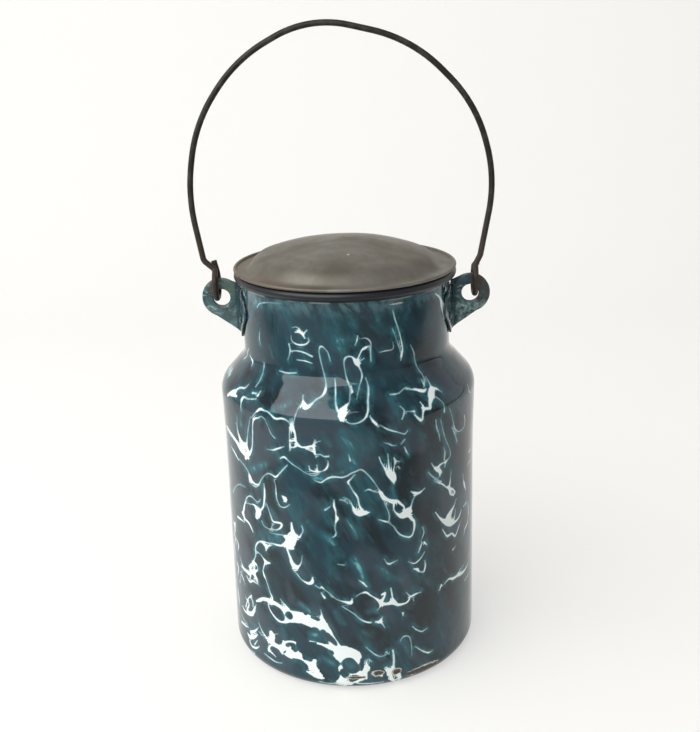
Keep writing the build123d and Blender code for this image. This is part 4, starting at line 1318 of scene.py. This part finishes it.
def setRivets(material, sizes):
    steps = sizes["roundSteps"]
    angles = [2 * pi * i / steps for i in range(steps)]
    head = turnedPiece("rivetHead", headProfile(sizes), angles, [material])
    tree = bpy.data.node_groups.new("rivetSetting", "GeometryNodeTree")
    sideAngle = atan2(sizes["side"], (sizes["footRadius"] ** 2 - sizes["side"] ** 2) ** 0.5)
    given = {
        "Head": ("Object", head),
        "Finish": ("Material", material),
        "Radius": ("Float", sizes["footRadius"]),
        "Side angle": ("Float", sideAngle),
        "Height": ("Float", sizes["height"]),
    }
    tree.interface.new_socket("Geometry", in_out="INPUT", socket_type="NodeSocketGeometry")
    tree.interface.new_socket("Geometry", in_out="OUTPUT", socket_type="NodeSocketGeometry")
    sockets = {}
    for label, (kind, value) in given.items():
        socket = tree.interface.new_socket(label, in_out="INPUT", socket_type="NodeSocket" + kind)
        sockets[label] = socket.identifier
    g = nodeBench(tree)
    source = g.node("NodeGroupInput").outputs

    # points 0 and 1 are on the right ear, 2 and 3 on the left one
    index = g.add("GeometryNodeInputIndex")
    earNumber = g.math("FLOOR", g.math("DIVIDE", index, 2.0))
    sign = g.minus(g.times(g.math("MODULO", index, 2.0), 2.0), 1.0)
    angle = g.plus(g.times(earNumber, pi), g.times(sign, source["Side angle"]))
    across = [g.times(g.math(part, angle), source["Radius"]) for part in ("COSINE", "SINE")]
    place = g.add("ShaderNodeCombineXYZ", {0: across[0], 1: across[1], 2: source["Height"]})
    points = g.add("GeometryNodePoints", {"Count": sizes["count"], "Position": place})
    turn = g.add("ShaderNodeCombineXYZ", {1: pi / 2, 2: angle})
    one = g.add("GeometryNodeObjectInfo", {0: source["Head"]}, "Geometry")
    copies = g.add("GeometryNodeInstanceOnPoints", {"Points": points, "Instance": one, "Rotation": turn})
    solid = g.add("GeometryNodeRealizeInstances", {0: copies})
    g.node("NodeGroupOutput", {0: g.add("GeometryNodeSetMaterial", {0: solid, "Material": source["Finish"]})})

    piece = newPiece("earRivets", [], [], [material])
    setter = piece.modifiers.new("setting", "NODES")
    setter.node_group = tree
    for label, (kind, value) in given.items():
        setter[sockets[label]] = value
    piece.data = bakedMesh(piece)
    bpy.data.objects.remove(head)
    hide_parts("ear_rivets")
    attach(piece, "can")


setRivets(glaze, rivets)
print("rivets set")


def refinish(nodeName, material):
    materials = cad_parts[nodeName].data.materials
    materials.clear()
    materials.append(material)


# Bail: the frame's own wire, dark iron with rust towards the hooks
bail = {
    "iron": shade("1d1d19"),
    "worn": shade("38372e"),
    "rust": shade("3c3027"),
    "scaleNoise": (5.0, 4.0, 0.65),
    "grainNoise": (0.7, 3.0, 0.6),
    "wornShows": (0.42, 0.66),
    "rustEdge": (265.0, 220.0),  # heights between which the rust begins
    "rustWave": 40.0,
    "rustShows": (0.35, 0.6, 0.35, 0.9),
    "roughness": (0.35, 0.7, 0.42, 0.6),
    "relief": (0.06, 0.6),
    "gloss": 0.3,
}


def ironWire(look):
    m = finishBench("ironWire")
    scale = m.noise(m.place, *look["scaleNoise"])
    grain = m.noise(m.place, *look["grainNoise"])
    colour = m.mix(m.step(scale, *look["wornShows"]), look["iron"], look["worn"])
    low = m.step(m.plus(m.z, m.times(scale, look["rustWave"])), *look["rustEdge"])
    colour = m.over(colour, look["rust"], low, m.step(grain, *look["rustShows"]))
    rough = m.step(scale, *look["roughness"])
    normal = m.relief(grain, *look["relief"])
    iron = m.shader(Base_Color=colour, Roughness=rough, Normal=normal, Specular_IOR_Level=look["gloss"])
    return m.finish(iron)


refinish("bail_wire", ironWire(bail))
print("bail finished")


# Lid: a domed cap with a rolled hem, worn tin over steel
lid = {
    "seat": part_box("lid_cap")[0].z,
    "rim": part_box("lid_cap")[1].x,
    "sheet": 0.5 * mm,
    "hem": 0.8 * mm,
    "hemTurn": 292,
    "hemSteps": 18,
    "hemReach": 1.05,  # in hem radii, how far inside the hem's centre the upper face ends
    "domeInset": 7.2 * mm,
    "domeHeight": 13.2 * mm,
    "crown": 20.0 * mm,
    "shoulderInset": 5.4 * mm,
    "shoulderHeight": 6.0 * mm,
    "bends": (120 * mm, 12 * mm, 3.5 * mm),
    "steps": (1 * mm, 1.5 * mm, 1 * mm, 0.8 * mm),
    "arcStep": 1.2 * mm,
    "roundSteps": 240,
    "domeShift": -1.3 * mm,  # the dome was pressed a little off centre
    "domeFade": 8 * mm,
    "dentSize": 26 * mm,
    "dentDepth": 0.35 * mm,
    "tin": shade("827f76"),
    "tinDark": shade("6a665b"),
    "tinBrown": shade("77695a"),
    "scratch": shade("a39b88"),
    "rubbedAndReflection": shade("b9b2a2"),
    "speck": shade("e0d2cb"),
    "broadNoise": (30.0, 4.0, 0.55),
    "blotchNoise": (9.0, 5.0, 0.65),
    "grainNoise": (0.9, 4.0, 0.65),
    "tinShows": (0.35, 0.66),
    "brownShows": (0.45, 0.75, 0.0, 0.45),
    "flangeEdge": (45.0, 48.5),
    "leftSide": (-8.0, -38.0, 0.0, 0.6),
    "rubbedAndReflectionPlace": ((2.0, 30.0), (46.0, 34.0), (0.3, 0.6, 0.5, 0.95)),
    "scratchBend": (20.0, 1.5),
    "scratchTurns": ((0.5, 0.0), (-0.9, 40.0)),  # angle and seed
    "scratchStretch": (1.0, 0.05, 0.3),
    "scratchNoise": (0.8, 2.0),
    "scratchShows": (0.66, 0.74),
    "scratchPatches": (0.5, 0.65),
    "scratchShare": 0.35,
    "marks": ((2.6, -25.8, 0.7, 0.0), (31.0, -41.5, 4.5, 1.4)),  # x, y, radius and raggedness
    "markShows": (1.15, 0.85, 0.0, 0.7),
    "roughness": (0.35, 0.7, 0.46, 0.58),
    "grainRoughness": 0.06,
    "blotchRelief": (0.12, 0.35),
    "grainRelief": (0.03, 0.5),
    "metallic": 0.7,
}


def wornTin(look):
    m = finishBench("wornTin")
    p = m.place
    broad = m.noise(p, *look["broadNoise"])
    blotch = m.noise(p, *look["blotchNoise"])
    grain = m.noise(p, *look["grainNoise"])
    colour = m.mix(m.step(broad, *look["tinShows"]), look["tinDark"], look["tin"])
    colour = m.over(colour, look["tinBrown"], m.step(blotch, *look["brownShows"]))
    radius = m.math("SQRT", m.plus(m.times(m.x, m.x), m.times(m.y, m.y)))
    # the dome is brighter in patches towards its top at the back: partly rubbed tin, partly a painted
    # reflection of the bright backdrop
    back, top, patches = look["rubbedAndReflectionPlace"]
    rubbedAndReflection = m.times(m.step(m.y, *back), m.step(radius, *top), m.step(blotch, *patches))
    colour = m.over(colour, look["rubbedAndReflection"], rubbedAndReflection)
    flange = m.step(radius, *look["flangeEdge"])
    colour = m.over(colour, look["tinBrown"], flange, m.step(m.x, *look["leftSide"]))
    # fine scratches, drawn out in two directions
    scratches = 0.0
    for turn, seed in look["scratchTurns"]:
        spun = {"Vector": m.swirled(p, *look["scratchBend"]), "Angle": turn}
        drawn = m.vector("MULTIPLY", m.add("ShaderNodeVectorRotate", spun), look["scratchStretch"])
        drawn = m.vector("ADD", drawn, (seed, seed, 0.0))
        one = m.step(m.noise(drawn, *look["scratchNoise"]), *look["scratchShows"])
        scratches = m.math("MAXIMUM", one, scratches)
    scratches = m.times(scratches, m.step(blotch, *look["scratchPatches"]))
    colour = m.over(colour, look["scratch"], scratches, look["scratchShare"])
    for x, y, size, ragged in look["marks"]:
        away = m.vector("MULTIPLY", m.vector("SUBTRACT", p, (x, y, 0.0)), (1.0, 1.0, 0.0))
        gap = m.add("ShaderNodeVectorMath", {0: away}, "Value", operation="LENGTH")
        gap = m.plus(m.math("DIVIDE", gap, size), m.times(grain, ragged))
        colour = m.over(colour, look["speck"], m.step(gap, *look["markShows"]))
    rough = m.plus(m.step(blotch, *look["roughness"]), m.times(grain, look["grainRoughness"]))
    normal = m.relief(grain, *look["grainRelief"], m.relief(blotch, *look["blotchRelief"]))
    return m.finish(m.shader(Base_Color=colour, Metallic=look["metallic"], Roughness=rough, Normal=normal))


def buildLid(material, sizes):
    seat, sheet, hem, rim = sizes["seat"], sizes["sheet"], sizes["hem"], sizes["rim"]
    base = rim - sizes["domeInset"]
    hemCentre = Vector((rim - hem, 0, seat + hem))
    under = (
        (0, 0, seat + sizes["domeHeight"]),
        (sizes["crown"], 0, seat + sizes["domeHeight"]),
        (base - sizes["shoulderInset"], 0, seat + sizes["shoulderHeight"]),
        (base, 0, seat),
        (hemCentre.x, 0, seat),
    )
    lower = bentLine(under, sizes["bends"], sizes["steps"], sizes["arcStep"])
    # the upper face ends where it meets the hem
    upper = [p for p in offsetLine(lower, sheet) if p.x < hemCentre.x - hem * sizes["hemReach"]]
    roll = []
    for i in range(1, sizes["hemSteps"] + 1):
        angle = radians(-90 + sizes["hemTurn"] * i / sizes["hemSteps"])
        roll.append(hemCentre + Vector((cos(angle), 0, sin(angle))) * hem)
    top = Vector((0, 0, seat + sizes["domeHeight"] + sheet))
    fade = sizes["domeFade"]

    def dented(place, normal, j):
        flat = Vector((place.x, place.y, 0))
        onDome = 1 - min(max((flat.length - base + fade) / fade, 0.0), 1.0)
        depth = noise.noise(flat / sizes["dentSize"]) * sizes["dentDepth"] * onDome
        return place + Vector((sizes["domeShift"] * onDome, 0, depth))

    angles = [2 * pi * i / sizes["roundSteps"] for i in range(sizes["roundSteps"])]
    piece = turnedPiece("lidCap", lower + roll + upper[::-1] + [top], angles, [material], push=dented)
    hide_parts("lid_cap")
    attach(piece, "lid")


# Solder: the frame's own fillet between cap and collar
solder = {
    "dark": shade("77736b"),
    "pale": shade("8f8c84"),
    "lumpNoise": (2.5, 3.0),
    "paleShows": (0.4, 0.62),
    "relief": (0.2, 0.6),
    "metallic": 0.8,
    "roughness": 0.45,
}


def dullSolder(look):
    m = finishBench("dullSolder")
    lump = m.noise(m.place, *look["lumpNoise"])
    colour = m.mix(m.step(lump, *look["paleShows"]), look["dark"], look["pale"])
    normal = m.relief(lump, *look["relief"])
    rough = look["roughness"]
    return m.finish(m.shader(Base_Color=colour, Metallic=look["metallic"], Roughness=rough, Normal=normal))


tin = wornTin(lid)
buildLid(tin, lid)
refinish("lid_collar", tin)
refinish("lid_solder", dullSolder(solder))
print("lid finished")
